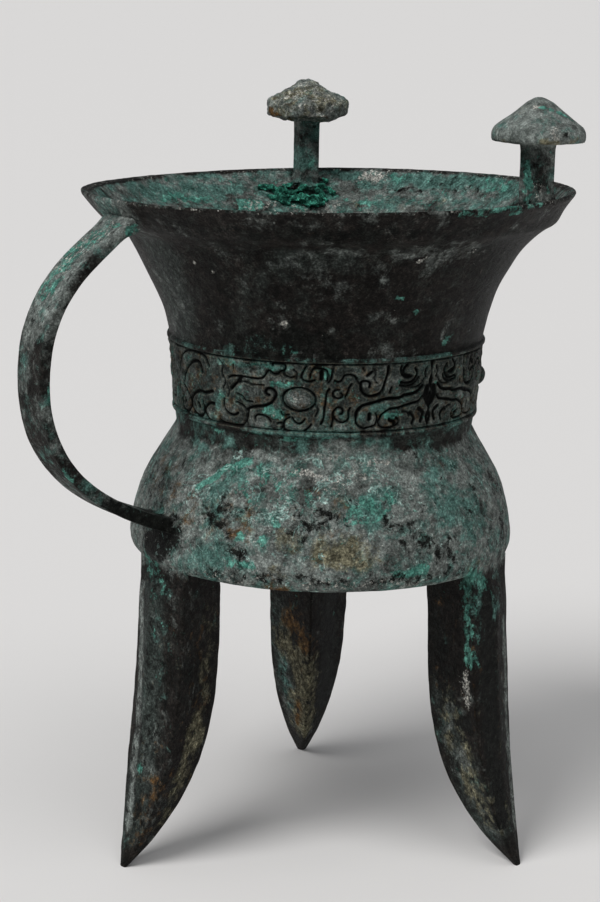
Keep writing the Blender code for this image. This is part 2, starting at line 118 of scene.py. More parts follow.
# The band is drawn flat, in cells of CELL millimetres: one dragon runs from the handle's panel
# round to the front, and the lines below are the grooves cut between its raised parts. Across,
# 0 to 100 is its length; up, 0 to 100 is the height between the band's two ridges. Each line has
# its width in millimetres and its depth, where 1 is the full depth.
DRAGON_SPAN = 83.0
PANEL_HALF = 13.0
BAND_LOW = 185.9
BAND_TALL = 26.1
BAND_MEAN = 63.0
CELL = 0.2
GROOVES = [
    (1.2, 1.0, [(6.5, 70), (8, 73), (10, 74), (13, 74.5), (16, 74), (20, 73.5), (22.5, 74.5),
                (24, 78), (25, 83), (26, 88), (27.3, 86), (28.5, 83.5), (30, 84), (31.5, 88),
                (33, 90), (33.7, 94), (33, 99), (30, 100), (27.8, 99.5), (28, 96)]),
    (1.0, 0.9, [(33, 90), (33.2, 84), (34.5, 80.5), (36, 79.5), (37.5, 81.5)]),
    (0.9, 0.7, [(9.2, 85), (9.3, 92)]),
    (0.9, 0.5, [(13, 92), (15.5, 89), (19, 88), (22, 88.5), (23.5, 91), (24, 94)]),
    (1.5, 1.0, [(12.5, 74), (11.5, 68), (10.8, 64), (9, 58), (8, 54)]),
    (1.8, 1.0, [(13, 74), (12.4, 66)]),
    (1.2, 1.0, [(3.8, 36), (3.4, 28), (4, 20), (5.5, 15.5), (7, 13.5), (9, 13.5), (11, 17)]),
    (1.1, 0.9, [(0.5, 8), (1, 2), (3, -1), (8, -3), (13, -1), (15.2, 8), (16, 15), (16.5, 24)]),
    (1.0, 0.9, [(10.5, 34), (13, 31.5), (14.5, 28), (15, 24)]),
    (1.5, 1.0, [(15.5, 24), (17, 27.5), (19, 30), (21, 31.5), (23.5, 33), (26, 36), (27.5, 40),
                (28.5, 45), (29.3, 50), (29.3, 54), (28.5, 58), (27, 60.5), (25.5, 60), (24.7, 56),
                (25, 52), (26.3, 50)]),
    (0.8, 0.6, [(16, 68), (16.8, 60), (17.5, 53), (18.3, 51)]),
    (0.8, 0.6, [(19.3, 62), (20.6, 56), (20.6, 50)]),
    (0.8, 0.6, [(22, 64), (22.3, 58), (22.3, 51)]),
    (0.9, 0.7, [(14, 67), (16.5, 66), (19, 64), (24, 65)]),
    (1.0, 0.9, [(16.3, 22), (15.7, 15), (15.5, 8), (16, 1)]),
    (1.1, 1.0, [(19.7, 9), (19.5, 14), (20.5, 18), (22.5, 18.5), (24.5, 17), (26, 14), (26.7, 9)]),
    (1.0, 0.9, [(30, 8), (32, 9), (32.6, 5), (31.5, 0)]),
    (1.1, 1.0, [(31.5, 26), (31.8, 22), (33, 21), (35, 22.5)]),
    (1.2, 1.0, [(36.5, 18), (37.5, 12), (39.3, 9), (41, 12), (42, 17)]),
    (1.1, 0.9, [(35.5, 19), (33, 12), (33, 0), (36, -4), (40, -4), (43, 2), (44.8, 9)]),
    (1.2, 1.0, [(48.8, 10), (49.6, 15), (50, 20), (50.2, 27), (50.3, 35), (50.8, 45), (51, 55),
                (51.3, 60), (52.2, 64)]),
    (1.2, 1.0, [(53.3, 5), (53.7, 12), (54, 20), (54, 28), (54.8, 33), (56, 36.5), (57.5, 35),
                (58.2, 30), (57.8, 26), (57, 26)]),
    (1.1, 1.0, [(54.5, 22), (55.5, 16), (57.5, 13), (59.5, 14.5), (60.7, 20), (60.5, 30),
                (61.2, 35)]),
    (1.1, 1.0, [(42.5, 98), (41.5, 92), (40.7, 86), (40.4, 80), (41.5, 76), (44, 74.5), (46, 77)]),
    (1.0, 0.9, [(46, 97), (44.7, 91), (44.1, 85), (44, 80)]),
    (1.9, 1.0, [(48.8, 90), (48.7, 79)]),
    (1.5, 1.0, [(86.2, 98), (84.6, 92), (84.8, 84), (87.6, 81)]),
    (1.3, 1.0, [(90.2, 92), (91.4, 84), (89.8, 74), (86.8, 70), (83.4, 72)]),
    (1.1, 0.9, [(46, 95), (48.5, 95), (51, 92), (51.6, 84), (51, 76)]),
    (1.1, 0.9, [(53.5, 95), (53.3, 88), (53, 82), (52.3, 76), (51.5, 73)]),
    (1.1, 1.0, [(54.3, 77), (55.5, 75), (57, 76.5), (57.8, 81), (58.5, 85), (61, 86), (63, 83),
                (64, 79)]),
    (1.1, 0.9, [(61.5, 72), (60.5, 66), (59.8, 58), (59, 52)]),
    (1.0, 0.9, [(56.5, 63), (54.5, 62), (53.6, 57), (54.5, 51), (56.5, 50), (58, 54), (57, 58)]),
    (1.4, 1.0, [(77.3, 98), (77.2, 90), (77, 84), (76.3, 76), (75.7, 68), (75, 61), (74, 57),
                (71.5, 53.5), (69, 53), (67, 56.5), (65.8, 62), (65.4, 70), (65.6, 75), (68, 76),
                (69.5, 72), (69.2, 67)]),
    (1.0, 0.8, [(64.5, 74), (63.5, 78), (62.5, 85)]),
    (1.5, 0.8, [(68, 84), (70, 90)]),
    (1.0, 0.8, [(66, 96), (66.8, 91)]),
    (1.2, 0.9, [(79.3, 65), (78.5, 57)]),
    (1.2, 1.0, [(83.3, 96), (83.2, 90), (83.8, 84), (85, 80), (87, 78), (88.8, 80)]),
    (1.1, 1.0, [(83, 67), (86, 65), (88.5, 66), (90, 68), (91.5, 72), (92.4, 78)]),
    (1.6, 1.0, [(63.8, 22), (64.2, 30), (66, 37), (68, 40), (70, 41.5), (72, 43), (74, 45),
                (76, 47), (79, 48), (81, 47.5), (84, 48.5), (85, 51), (87, 52), (89, 52.5),
                (91.5, 54.5), (93.5, 59), (95, 64)]),
    (1.3, 1.0, [(74.7, 20), (75.5, 24), (78, 29.5), (79.5, 32), (82, 32), (84, 33.5), (87, 36),
                (90, 38), (92, 39), (93.8, 41.5), (94.8, 47)]),
    (1.9, 1.0, [(69.8, 25), (69.8, 17)]),
    (1.1, 1.0, [(63.8, 22), (64, 12), (65.5, 6), (67.5, 3.5), (70, 5), (72.5, 7.5)]),
    (1.0, 0.9, [(72.5, 27), (73.3, 20), (72.7, 10), (72.3, 7)]),
    (1.6, 1.0, [(79, 16), (79.6, 13), (81.2, 12), (81.4, 7)]),
    (1.1, 1.0, [(74.7, 20), (74, 12), (75, 5), (77.5, 3), (81, 4), (83.3, 8), (83.5, 14),
                (82, 18)]),
    (5.0, 0.45, [(87, 8), (91, 16), (95, 26)]),
    (1.8, 0.8, [(99.6, 2), (98.2, 14), (99.4, 27), (98.0, 40), (99.8, 55), (98.8, 70), (99.8, 84),
                (98.9, 99)]),
    (3.0, 0.8, [(97.4, 60), (96.8, 49), (98.2, 38)]),
    (1.9, 0.8, [(93.6, 29), (96.2, 21), (95.2, 9)]),
    (1.5, 0.8, [(89.0, 24), (91.4, 15), (90.6, 6)]),
    (1.2, 0.8, [(96.6, 92), (95.6, 83), (96.4, 76)]),
    (1.0, 0.8, [(1.5, 96), (3.5, 88), (3.0, 76), (4.6, 64), (3.2, 52)]),
    (0.9, 0.7, [(5.4, 60), (6.6, 50), (6.0, 41)]),
    (1.0, 0.8, [(10.5, 48), (13.5, 44), (15.2, 38), (18.5, 37)]),
    (0.9, 0.7, [(37.0, 92), (38.6, 86), (38.2, 78)]),
    (0.9, 0.7, [(46.5, 40), (47.6, 31), (46.6, 22)]),
    (0.9, 0.7, [(70.5, 96), (71.8, 88), (71.2, 80), (72.6, 72)]),
    (1.0, 0.7, [(88.5, 62), (91.5, 63), (94.0, 68), (95.2, 75)]),
    (1.0, 0.7, [(85.0, 27), (87.5, 25), (88.6, 19)]),
]
EYE = (39.4, 47.0)
EYE_BALL = (5.8, 3.9)
EYE_RING = (6.5, 4.6)

# The panel behind the handle. Across, -100 to 100 is its whole width.
PANEL_GROOVES = [
    (1.6, 1.0, [(-53, 47), (-45, 58), (-33, 67), (-14, 77), (8, 84), (30, 86), (43, 82), (49, 71)]),
    (1.3, 0.8, [(-80, 60), (-62, 84), (-30, 97), (20, 100), (62, 96), (80, 82)]),
    (1.6, 1.0, [(88, 44), (55, 39), (35, 40), (8, 35), (-10, 24), (-9, 10), (14, 1), (38, 2),
                (48, 12), (42, 25)]),
    (1.9, 1.0, [(22, 20), (28, 15)]),
    (1.5, 1.0, [(95, 25), (78, 25), (60, 19), (54, 9), (70, -2), (96, -4)]),
    (1.5, 1.0, [(-60, 42), (-38, 35), (-20, 24), (-21, 10), (-44, 1), (-66, 4), (-72, 20),
                (-62, 27)]),
    (1.7, 1.0, [(-50, 18), (-56, 14)]),
    (1.2, 0.9, [(-86, 6), (-92, 26), (-84, 44)]),
]

# Legs. Top and tip give the section's outer and inner distance from the axis, its half width and
# how far its ridge stands out.
LEG_ANGLES = (180, 60, 300)
LEG_TOP = (76.8, 49.7, 17.7, 4.5)
LEG_TIP = (94.4, 91.2, 2.4, 0.7)
LEG_RIDGE_OFFSET = -3.4
LEG_WALL = 3.0
LEG_HOLLOW = 42.0

# Handle. Its ends are given by distance from the axis, height and slope in degrees, and its
# thickness at the top, half way along and at the foot. HANDLE_STEP is the spacing of its rings,
# and HANDLE_LET_IN is how far each end goes into the wall.
HANDLE_WIDTH = 20.6
HANDLE_REACH = (AXIS_X - cad_low[0]) / MM
HANDLE_TOP = (98.0, 265.6, -37.8)
HANDLE_WIDEST_Z = 204.7
HANDLE_FOOT = (77.4, 140.2, 18.5)
HANDLE_THICKNESS = (4.7, 4.6, 5.8)
HANDLE_STEP = 1.5
HANDLE_LET_IN = 1.4

# Posts and caps.
POST_ANGLE = 62.2
POST_SIDE = 9.4
RIGHT_POST_SWELL = 0.45
POST_TWIST = 15.0
POST_RADIUS = 91.5
CAP_BASE = 297.5
CAP_TOP = cad_high[2] / MM
CAP_RADIUS = 18.4
CAP_OUTLINE = [(0, 1), (0.06, 0.99), (0.13, 0.965), (0.21, 0.92), (0.32, 0.85), (0.53, 0.66),
               (0.76, 0.475), (0.9, 0.37), (0.965, 0.29), (0.995, 0.2), (1, 0.12), (0.985, 0.05),
               (0.95, 0.01), (0.85, 0), (0.6, 0), (0.38, -0.03), (0.22, -0.06)]
CRUST_OUTLINE = [(0, 0.95), (0.14, 0.945), (0.28, 0.87), (0.45, 0.76), (0.62, 0.66), (0.8, 0.56),
                 (0.92, 0.49), (0.985, 0.42), (1, 0.32), (0.995, 0.2), (0.985, 0.1), (0.95, 0.02),
                 (0.85, 0), (0.7, -0.05), (0.5, -0.11), (0.3, -0.13)]

# Corrosion lumps at the foot of the left post: middle lines by angle, height and lift off the wall.
ROPES = [
    (1.9, [(76, 265.5, 0.4), (73, 264.4, 1.8), (70, 263, 2.6), (67, 262.4, 2.2),
           (64.5, 262.8, 1.0)]),
    (2.3, [(72, 261.4, 0.8), (68.5, 260.2, 2.0), (65, 259.8, 2.4), (61, 259.8, 1.8),
           (56.5, 260.6, 0.6)]),
    (1.9, [(69, 264.8, 1.4), (66, 265.4, 3.0), (62.5, 266.6, 3.6), (59, 267.6, 3.0),
           (56, 266.8, 1.4)]),
    (2.1, [(66.5, 261.8, 2.2), (63, 263, 3.6), (59.5, 263.8, 3.6), (56, 263.2, 2.2),
           (54, 262.2, 0.8)]),
    (1.7, [(63.5, 258.6, 0.8), (60, 257.8, 1.8), (57, 258.6, 1.0)]),
    (1.6, [(74, 262.2, 0.3), (71, 260, 1.0), (68, 258.4, 0.8)]),
    (1.5, [(61, 265.4, 2.2), (58.4, 261.8, 3.2), (56, 259, 1.6)]),
]


def mix(start, end, share):
    """A value part of the way from start to end."""
    return start + (end - start) * share


def smoothstep(low, high, value):
    """0 below low, 1 above high and a soft step between."""
    t = np.clip((value - low) / (high - low), 0.0, 1.0)
    return t * t * (3 - 2 * t)


def curve(points, spacing):
    """Evenly spaced samples of a smooth curve through the given points, ends included."""
    knots = np.array(points, dtype=float)
    ends = np.vstack([2 * knots[0] - knots[1], knots, 2 * knots[-1] - knots[-2]])
    fine = []
    for i in range(len(knots) - 1):
        a, b, c, d = ends[i:i + 4]
        for t in np.linspace(0, 1, 12, endpoint=False):
            fine.append(0.5 * (2 * b + (c - a) * t + (2 * a - 5 * b + 4 * c - d) * t**2
                               + (3 * b - a - 3 * c + d) * t**3))
    fine = np.array(fine + [knots[-1]])
    length = np.concatenate([[0], np.cumsum(np.linalg.norm(np.diff(fine, axis=0), axis=1))])
    count = max(2, round(length[-1] / spacing)) + 1
    want = np.linspace(0, length[-1], count)
    return np.stack([np.interp(want, length, fine[:, k]) for k in range(fine.shape[1])], axis=1)


def noise(places, size, seed):
    """Smooth noise from -1 to 1 whose lumps are about this size."""
    p = np.asarray(places, dtype=float) / size + seed * 17.37
    cell = np.floor(p).astype(np.int64)
    f = p - cell
    f = f * f * (3 - 2 * f)
    total = np.zeros(len(p))
    # the large numbers only stir the cell's place and the seed into an even spread
    for dx in (0, 1):
        for dy in (0, 1):
            for dz in (0, 1):
                h = ((cell[:, 0] + dx) * 73856093) ^ ((cell[:, 1] + dy) * 19349663)
                h = (h ^ ((cell[:, 2] + dz) * 83492791) ^ (seed * 2654435761)) & 0xFFFFFFFF
                h = ((h ^ (h >> 15)) * 2246822519) & 0xFFFFFFFF
                h = ((h ^ (h >> 13)) * 3266489917) & 0xFFFFFFFF
                value = ((h ^ (h >> 16)) & 0xFFFF) / 32767.5 - 1
                weight = (f[:, 0] if dx else 1 - f[:, 0]) * (f[:, 1] if dy else 1 - f[:, 1])
                total += value * weight * (f[:, 2] if dz else 1 - f[:, 2])
    return total


def rough(places, size, seed):
    """Three octaves of noise."""
    return (noise(places, size, seed) + 0.5 * noise(places, size / 2, seed + 1)
            + 0.25 * noise(places, size / 4, seed + 2)) / 1.75


def polar(radius, degrees, z):
    """Places at distances and angles round the vessel's axis."""
    turn = np.radians(degrees)
    return np.stack([radius * np.cos(turn), radius * np.sin(turn), np.broadcast_to(z, np.shape(turn))],
                    axis=-1)


def unit(vectors):
    """The same directions, each one long."""
    return vectors / np.linalg.norm(vectors, axis=1)[:, None]


def turn_of(places):
    """Angles of places round the vessel's axis, in degrees from 0 to 360."""
    return np.degrees(np.arctan2(places[:, 1], places[:, 0])) % 360


def turn_gap(a, b):
    """The signed angle from b to a in degrees, between -180 and 180."""
    return (a - b + 180) % 360 - 180


def put(name, data):
    """A new object in the scene."""
    thing = bpy.data.objects.new(name, data)
    bpy.context.scene.collection.objects.link(thing)
    return thing


def corner_values(mesh, kind):
    """The place (co) or the normal of every corner of a mesh."""
    out = np.empty(len(mesh.vertices) * 3)
    mesh.vertices.foreach_get(kind, out)
    return out.reshape(-1, 3)


class Shell:
    """Corners and faces collected for one mesh."""

    def __init__(self):
        self.places = []
        self.faces = []
        self.count = 0

    def ring(self, places):
        """Adds corners and returns their numbers."""
        places = np.atleast_2d(places)
        first = self.count
        self.places.append(places)
        self.count += len(places)
        return np.arange(first, self.count)

    def join(self, a, b):
        """Four-sided faces between two rings of the same count."""
        c = np.roll(a, -1)
        d = np.roll(b, -1)
        self.faces.extend(np.stack([a, c, d, b], axis=1).tolist())

    def weave(self, a, b, angles_a, angles_b):
        """Triangles between two rings of different counts, whose corners are sorted by angle."""
        if len(a) == len(b):
            self.join(a, b)
            return
        turns_a = np.append(angles_a, angles_a[0] + 360)
        turns_b = np.append(angles_b, angles_b[0] + 360)
        i = 0
        j = 0
        while i < len(a) or j < len(b):
            if j == len(b) or (i < len(a) and turns_a[i + 1] <= turns_b[j + 1]):
                self.faces.append([a[i], a[(i + 1) % len(a)], b[j % len(b)]])
                i += 1
            else:
                self.faces.append([a[i % len(a)], b[(j + 1) % len(b)], b[j]])
                j += 1

    def close(self, ring, place, flip=False):
        """A fan that closes a ring at one corner."""
        tip = self.ring(place)[0]
        after = np.roll(ring, -1)
        for p, q in zip(ring, after):
            self.faces.append([q, p, tip] if flip else [p, q, tip])

    def finish(self, name):
        """The object, in millimetres."""
        mesh = bpy.data.meshes.new(name)
        mesh.from_pydata(np.vstack(self.places).tolist(), [], [[int(n) for n in f] for f in self.faces])
        mesh.update()
        return put(name, mesh)


def loft(name, rings, start, end, turned=False):
    """A closed object through rings of the same count, with a tip at each end.

    turned is for rings that run the other way round.
    """
    shell = Shell()
    before = shell.ring(rings[0])
    shell.close(before, start, flip=not turned)
    for places in rings[1:]:
        ring = shell.ring(places)
        if turned:
            shell.join(ring, before)
        else:
            shell.join(before, ring)
        before = ring
    shell.close(before, end, flip=turned)
    return shell.finish(name)


def angle_set(front_step, back_step, radius):
    """Sorted angles round the vessel, closer together on the camera's side."""
    fine = np.linspace(0, 360, 3601)
    away = np.abs(turn_gap(fine, CAMERA_AZIMUTH))
    step = mix(front_step, back_step, smoothstep(80, 110, away))
    density = math.radians(1) * radius / step
    total = np.concatenate([[0], np.cumsum((density[1:] + density[:-1]) / 2 * np.diff(fine))])
    count = round(total[-1])
    return np.interp(np.arange(count) * total[-1] / count, total, fine)


def groove_field(lines, across_mm, left, right):
    """Relief heights over a flat stretch of the band, 1 on top and 0 at the bottom of a groove, and
    how far each place is from the nearest groove's edge, in millimetres."""
    u = np.arange(left - 2.0, right + 2.0, CELL)
    v = np.arange(-2.0, BAND_TALL + 2.0, CELL)
    grid_u, grid_v = np.meshgrid(u, v, indexing="ij")
    height = np.ones(grid_u.shape)
    clear = np.full(grid_u.shape, 1e9)
    gap = np.full(grid_u.shape, 2.0)
    for width, depth, points in lines:
        line = curve(np.array(points, dtype=float) * (across_mm, BAND_TALL / 100), 0.6)
        near = np.full(grid_u.shape, 1e9)
        for a, b in zip(line, line[1:]):
            span = b - a
            t = np.clip(((grid_u - a[0]) * span[0] + (grid_v - a[1]) * span[1]) / (span @ span), 0, 1)
            near = np.minimum(near, (grid_u - a[0] - t * span[0])**2 + (grid_v - a[1] - t * span[1])**2)
        near = np.sqrt(near)
        clear = np.minimum(clear, near - width / 2)
        if depth > 0.6:
            gap = np.minimum(gap, near - width / 2)
        across = near * 2 / (width * GROOVE_WIDENING)
        height = np.minimum(height, 1 - depth * (1 - smoothstep(0.3, 1.15, across)))
    return height * mix(0.74, 1.0, smoothstep(0.3, 2.2, clear)), gap


def sample(field, left, u, v):
    """Values of a field at flat places, by straight mixing of the four cells around."""
    x = np.clip((u - left + 2.0) / CELL, 0, field.shape[0] - 1.001)
    y = np.clip((v + 2.0) / CELL, 0, field.shape[1] - 1.001)
    i = x.astype(int)
    j = y.astype(int)
    fx = x - i
    fy = y - j
    low = mix(field[i, j], field[i + 1, j], fx)
    high = mix(field[i, j + 1], field[i + 1, j + 1], fx)
    return mix(low, high, fy)


DRAGON_MM = math.radians(DRAGON_SPAN) * BAND_MEAN
PANEL_MM = math.radians(PANEL_HALF) * BAND_MEAN
DRAGON_FIELD, DRAGON_GAP = groove_field(GROOVES, DRAGON_MM / 100, 0.0, DRAGON_MM)
PANEL_FIELD, PANEL_GAP = groove_field(PANEL_GROOVES, PANEL_MM / 100, -PANEL_MM, PANEL_MM)


def band_relief(angle, z):
    """How far the band's face stands out, and how far it is to the nearest groove's edge."""
    v = z - BAND_LOW
    gap = turn_gap(angle, 180)
    away = np.abs(gap)
    in_panel = away < PANEL_HALF
    from_panel = np.radians(away - PANEL_HALF) * BAND_MEAN
    from_front = np.radians(np.abs(turn_gap(angle, 0))) * BAND_MEAN
    on_first = away < PANEL_HALF + DRAGON_SPAN + 0.5
    u = np.where(on_first, from_panel, from_front) - GROOVE_SHIFT
    top = sample(DRAGON_FIELD, 0.0, u, v)
    panel = sample(PANEL_FIELD, -PANEL_MM, np.radians(gap) * BAND_MEAN, v)
    top = np.where(in_panel, panel, top)
    panel_gap = sample(PANEL_GAP, -PANEL_MM, np.radians(gap) * BAND_MEAN, v)
    gap_line = np.where(in_panel, panel_gap, sample(DRAGON_GAP, 0.0, u, v))
    du = u - EYE[0] / 100 * DRAGON_MM
    dv = v - EYE[1] / 100 * BAND_TALL
    ring = np.sqrt((du / EYE_RING[0])**2 + (dv / EYE_RING[1])**2)
    eye = np.sqrt((du / EYE_BALL[0])**2 + (dv / EYE_BALL[1])**2)
    in_eye = (ring < 1.3) & ~in_panel
    moat = smoothstep(0.02, 0.17, np.abs(ring - 1))
    top = np.where(in_eye, np.minimum(np.where(ring < 1, 1.0, top), moat), top)
    round_eye = np.minimum(np.where(ring < 1, 2.0, gap_line), np.abs(ring - 1) * 5.5 - 0.5)
    gap_line = np.where(in_eye, round_eye, gap_line)
    rise = top * (RELIEF_RISE + RELIEF_CUT) - RELIEF_CUT
    dome = np.clip(1 - eye**2, 0, 1)**0.5
    rise = np.where(in_eye & (eye < 1), np.maximum(rise * 0.3, 0) + dome * (EYE_RISE - 0.3), rise)
    low = smoothstep(BAND_LOW - 0.9, BAND_LOW + 0.3, z)
    high = 1 - smoothstep(BAND_LOW + BAND_TALL - 0.5, BAND_LOW + BAND_TALL + 0.7, z)
    within = (z > BAND_LOW - 0.4) & (z < BAND_LOW + BAND_TALL + 0.2)
    gap_line = np.where(within, gap_line, 2.0)
    # the band's lower and upper edge lines count as grooves, so the material paints shade in them and a
    # highlight beside them too
    for level in (BAND_LOW - 0.6, BAND_LOW + BAND_TALL + 0.3):
        gap_line = np.minimum(gap_line, np.abs(z - level) - 0.35)
    return rise * low * high, gap_line


def band_base(z):
    """Radius of the band's ground, with its two ridges, at a height."""
    base = mix(FOOT_RADIUS, HEAD_RADIUS, (z - BAND_FOOT) / (BAND_HEAD - BAND_FOOT))
    for middle, outside in ((LOWER_RIDGE, -1), (UPPER_RIDGE, 1)):
        width = np.where((z - middle) * outside > 0, 1.5, RIDGE_WIDTH)
        base = base + RIDGE_RISE * np.exp(-((z - middle) / width)**4)
    return base


def body_zones():
    """The body's rings as zones, from the underside over the lip to the inner floor."""
    low = np.array([(radius, LEG_HEIGHT + UNDERSIDE_SAG * (radius / EDGE_RADIUS)**2)
                    for radius in np.linspace(8, EDGE_RADIUS, 9)])
    edge = []
    for degrees in np.linspace(72, 4, 9):
        turn = math.radians(degrees)
        rise = mix(EDGE_RISE, UNDERSIDE_SAG, math.sin(turn))
        edge.append((BELLY[0][0] - EDGE_ROUND * (1 - math.cos(turn)), LEG_HEIGHT + rise))
    belly = np.vstack([edge, curve(BELLY, 1.6)])
    neck = curve(NECK, 1.0)
    heights = np.concatenate([np.arange(183.2, 186.6, 0.36), np.arange(186.8, 212.0, 0.5),
                              np.arange(212.1, 215.0, 0.36)])
    band = np.stack([band_base(heights), heights], axis=1)
    flare = curve(FLARE, 1.7)
    rim = np.array(LIP)
    inner = curve(INNER, 1.6)
    upper = inner[inner[:, 1] > 254]
    lower = curve(inner[inner[:, 1] <= 254][::3], 4.0)
    ground = np.array([(radius, FLOOR + UNDERSIDE_SAG * (radius / INNER[-1][0])**2)
                       for radius in np.linspace(66, 8, 8)])
    body_angles = angle_set(1.6, 2.8, 79)
    band_angles = angle_set(0.55, 1.1, 64)
    rim_angles = angle_set(1.7, 2.2, 90)
    coarse = np.linspace(0, 360, 100, endpoint=False)
    return [("under", low, coarse), ("belly", belly, body_angles), ("neck", neck, band_angles),
            ("band", band, band_angles), ("flare", flare, body_angles), ("rim", rim, rim_angles),
            ("inner", upper, rim_angles), ("inner", lower, coarse), ("floor", ground, coarse)]


def make_body():
    """The turned body with its relief and its uneven skin, closed from axis to axis."""
    zones = body_zones()
    line = np.vstack([z[1] for z in zones])
    along = unit(np.gradient(line, axis=0))
    normals = np.stack([along[:, 1], -along[:, 0]], axis=1)
    shell = Shell()
    before = None
    n = 0
    for name, points, angles in zones:
        for point in points:
            radius = np.full(len(angles), point[0])
            z = np.full(len(angles), point[1])
            flat = polar(radius, angles, z)
            lift = skin(name, flat, z)
            if name == "band":
                radius = radius + band_relief(angles, z)[0] + lift
            else:
                radius = radius + normals[n][0] * lift
                z = z + normals[n][1] * lift
            ring = shell.ring(polar(radius, angles, z))
            if before is None:
                shell.close(ring, [0, 0, LEG_HEIGHT], flip=True)
            else:
                shell.weave(before[0], ring, before[1], angles)
            before = (ring, angles)
            n += 1
    shell.close(before[0], [0, 0, FLOOR])
    return shell.finish("body")


def skin(zone, places, z):
    """Uneven skin of the body: how far each corner moves out, in millimetres."""
    if zone == "belly":
        lift = 0.45 * noise(places, 26, 3) + 0.35 * rough(places, 7, 5) + 0.12 * noise(places, 2.6, 6)
        return lift * smoothstep(122, 128, z)
    if zone == "neck":
        return 0.25 * rough(places, 6, 7)
    if zone == "band":
        return 0.10 * rough(places, 4, 9)
    if zone == "flare":
        below_lip = 1 - smoothstep(266, 271, z)
        return 0.22 * noise(places, 30, 11) * below_lip + 0.05 * rough(places, 9, 12)
    if zone == "rim":
        return -0.22 + 0.22 * rough(places, 5, 13)
    if zone == "inner":
        crust = smoothstep(-0.1, 0.7, noise(places, 15, 15))
        return 0.15 * noise(places, 24, 14) + (0.25 + 0.5 * crust) * rough(places, 4.5, 16)
    return 0.2 * rough(places, 12, 17)


def rounded(corners, cut, steps):
    """A polygon's outline with rounded corners, as steps points along each side."""
    corners = np.array(corners, dtype=float)
    count = len(corners)
    out = []
    for i in range(count):
        here = corners[i]
        before = corners[i - 1] - here
        after = corners[(i + 1) % count] - here
        reach_before = min(cut, np.linalg.norm(before) * 0.35)
        reach_after = min(cut, np.linalg.norm(after) * 0.35)
        start = here + before / np.linalg.norm(before) * reach_before
        end = here + after / np.linalg.norm(after) * reach_after
        for t in (0.0, 0.33, 0.67, 1.0):
            out.append(start * (1 - t)**2 + here * 2 * t * (1 - t) + end * t * t)
        beyond = corners[(i + 1) % count]
        span = beyond - here
        length = np.linalg.norm(span)
        next_start = beyond - span / length * min(cut, length * 0.35)
        for t in np.linspace(0, 1, steps + 2)[1:-1]:
            out.append(end + (next_start - end) * t)
    return np.array(out)


def inset(corners, distance):
    """A convex polygon, given anticlockwise, with each side moved inwards."""
    corners = np.array(corners, dtype=float)
    out = []
    for i in range(len(corners)):
        a = corners[i] - corners[i - 1]
        b = corners[(i + 1) % len(corners)] - corners[i]
        na = np.array([-a[1], a[0]]) / np.linalg.norm(a)
        nb = np.array([-b[1], b[0]]) / np.linalg.norm(b)
        middle = (na + nb) / np.linalg.norm(na + nb)
        out.append(corners[i] + middle * distance / (middle @ na))
    return np.array(out)


def leg_corners(share):
    """Four corners of a leg at a share of its height, as distance out and distance sideways."""
    slim = max(0.0, 1 - share)
    outer = mix(LEG_TOP[0], LEG_TIP[0], slim**2.3)
    inner = mix(LEG_TOP[1], LEG_TIP[1], slim**3.8)
    half = mix(LEG_TOP[2], LEG_TIP[2], slim**4)
    ridge = mix(LEG_TOP[3], LEG_TIP[3], slim**2)
    reach = min(outer + ridge, mix(outer + ridge, 78.1, smoothstep(0.9, 1.0, share)))
    wide = 1.2 * smoothstep(0.1, 0.5, share) * (1 - smoothstep(0.88, 0.98, share))
    deep = 1.2 * smoothstep(0.0, 0.08, share)
    ridge_side = LEG_RIDGE_OFFSET * (1 - slim**2)
    return [(outer, -half - wide), (reach, ridge_side), (outer, half), (inner - deep, 0.0)]


def stand(flat, z, degrees):
    """Points seen along a leg's own radius, turned to the leg's place."""
    turn = math.radians(degrees)
    x = flat[:, 0] * math.cos(turn) - flat[:, 1] * math.sin(turn)
    y = flat[:, 0] * math.sin(turn) + flat[:, 1] * math.cos(turn)
    return np.stack([x, y, np.broadcast_to(z, x.shape)], axis=1)


def make_leg(degrees, seed):
    """One leg, with softened edges and an uneven, corroded face."""
    rings = []
    heights = np.concatenate([[0.0, 0.6, 1.4, 2.6], np.arange(4.4, 119, 1.9), [119.5, 121.5, 123]])
    for z in heights:
        flat = rounded(leg_corners(z / LEG_HEIGHT), 1.3, 7)
        if z > 122:
            # the top slopes with the belly's floor and ends inside it
            z = mix(124.6, 127.3, (flat[:, 0] - LEG_TOP[1]) / 28.4)
        places = stand(flat, z, degrees)
        out = places - stand(np.array([flat.mean(axis=0)]), 0.0, degrees)
        out = unit(out * (1, 1, 0))
        lift = 0.28 * noise(places, 16, seed) + 0.28 * rough(places, 4, seed + 1)
        calm = smoothstep(0, 8, places[:, 2]) * (1 - smoothstep(117, 122, places[:, 2]))
        rings.append(places + out * (lift * calm)[:, None])
    return loft(f"leg_{degrees}", rings, rings[0].mean(axis=0), rings[-1].mean(axis=0))


def make_hollow(degrees):
    """The hollow inside one leg, open into the belly."""
    rings = []
    for z in np.append(np.linspace(LEG_HOLLOW, LEG_HEIGHT, 22), [125, 131]):
        share = min(z / LEG_HEIGHT, 1.0)
        flat = rounded(inset(leg_corners(share), LEG_WALL), 1.5, 3)
        rings.append(stand(flat, z, degrees))
    return loft(f"hollow_{degrees}", rings, rings[0].mean(axis=0), rings[-1].mean(axis=0))


def bezier(a, b, c, d, steps):
    """Points along one cubic Bezier span, both ends included."""
    t = np.linspace(0, 1, steps + 1)[:, None]
    s = 1 - t
    return a * s**3 + 3 * b * s * s * t + 3 * c * s * t * t + d * t**3


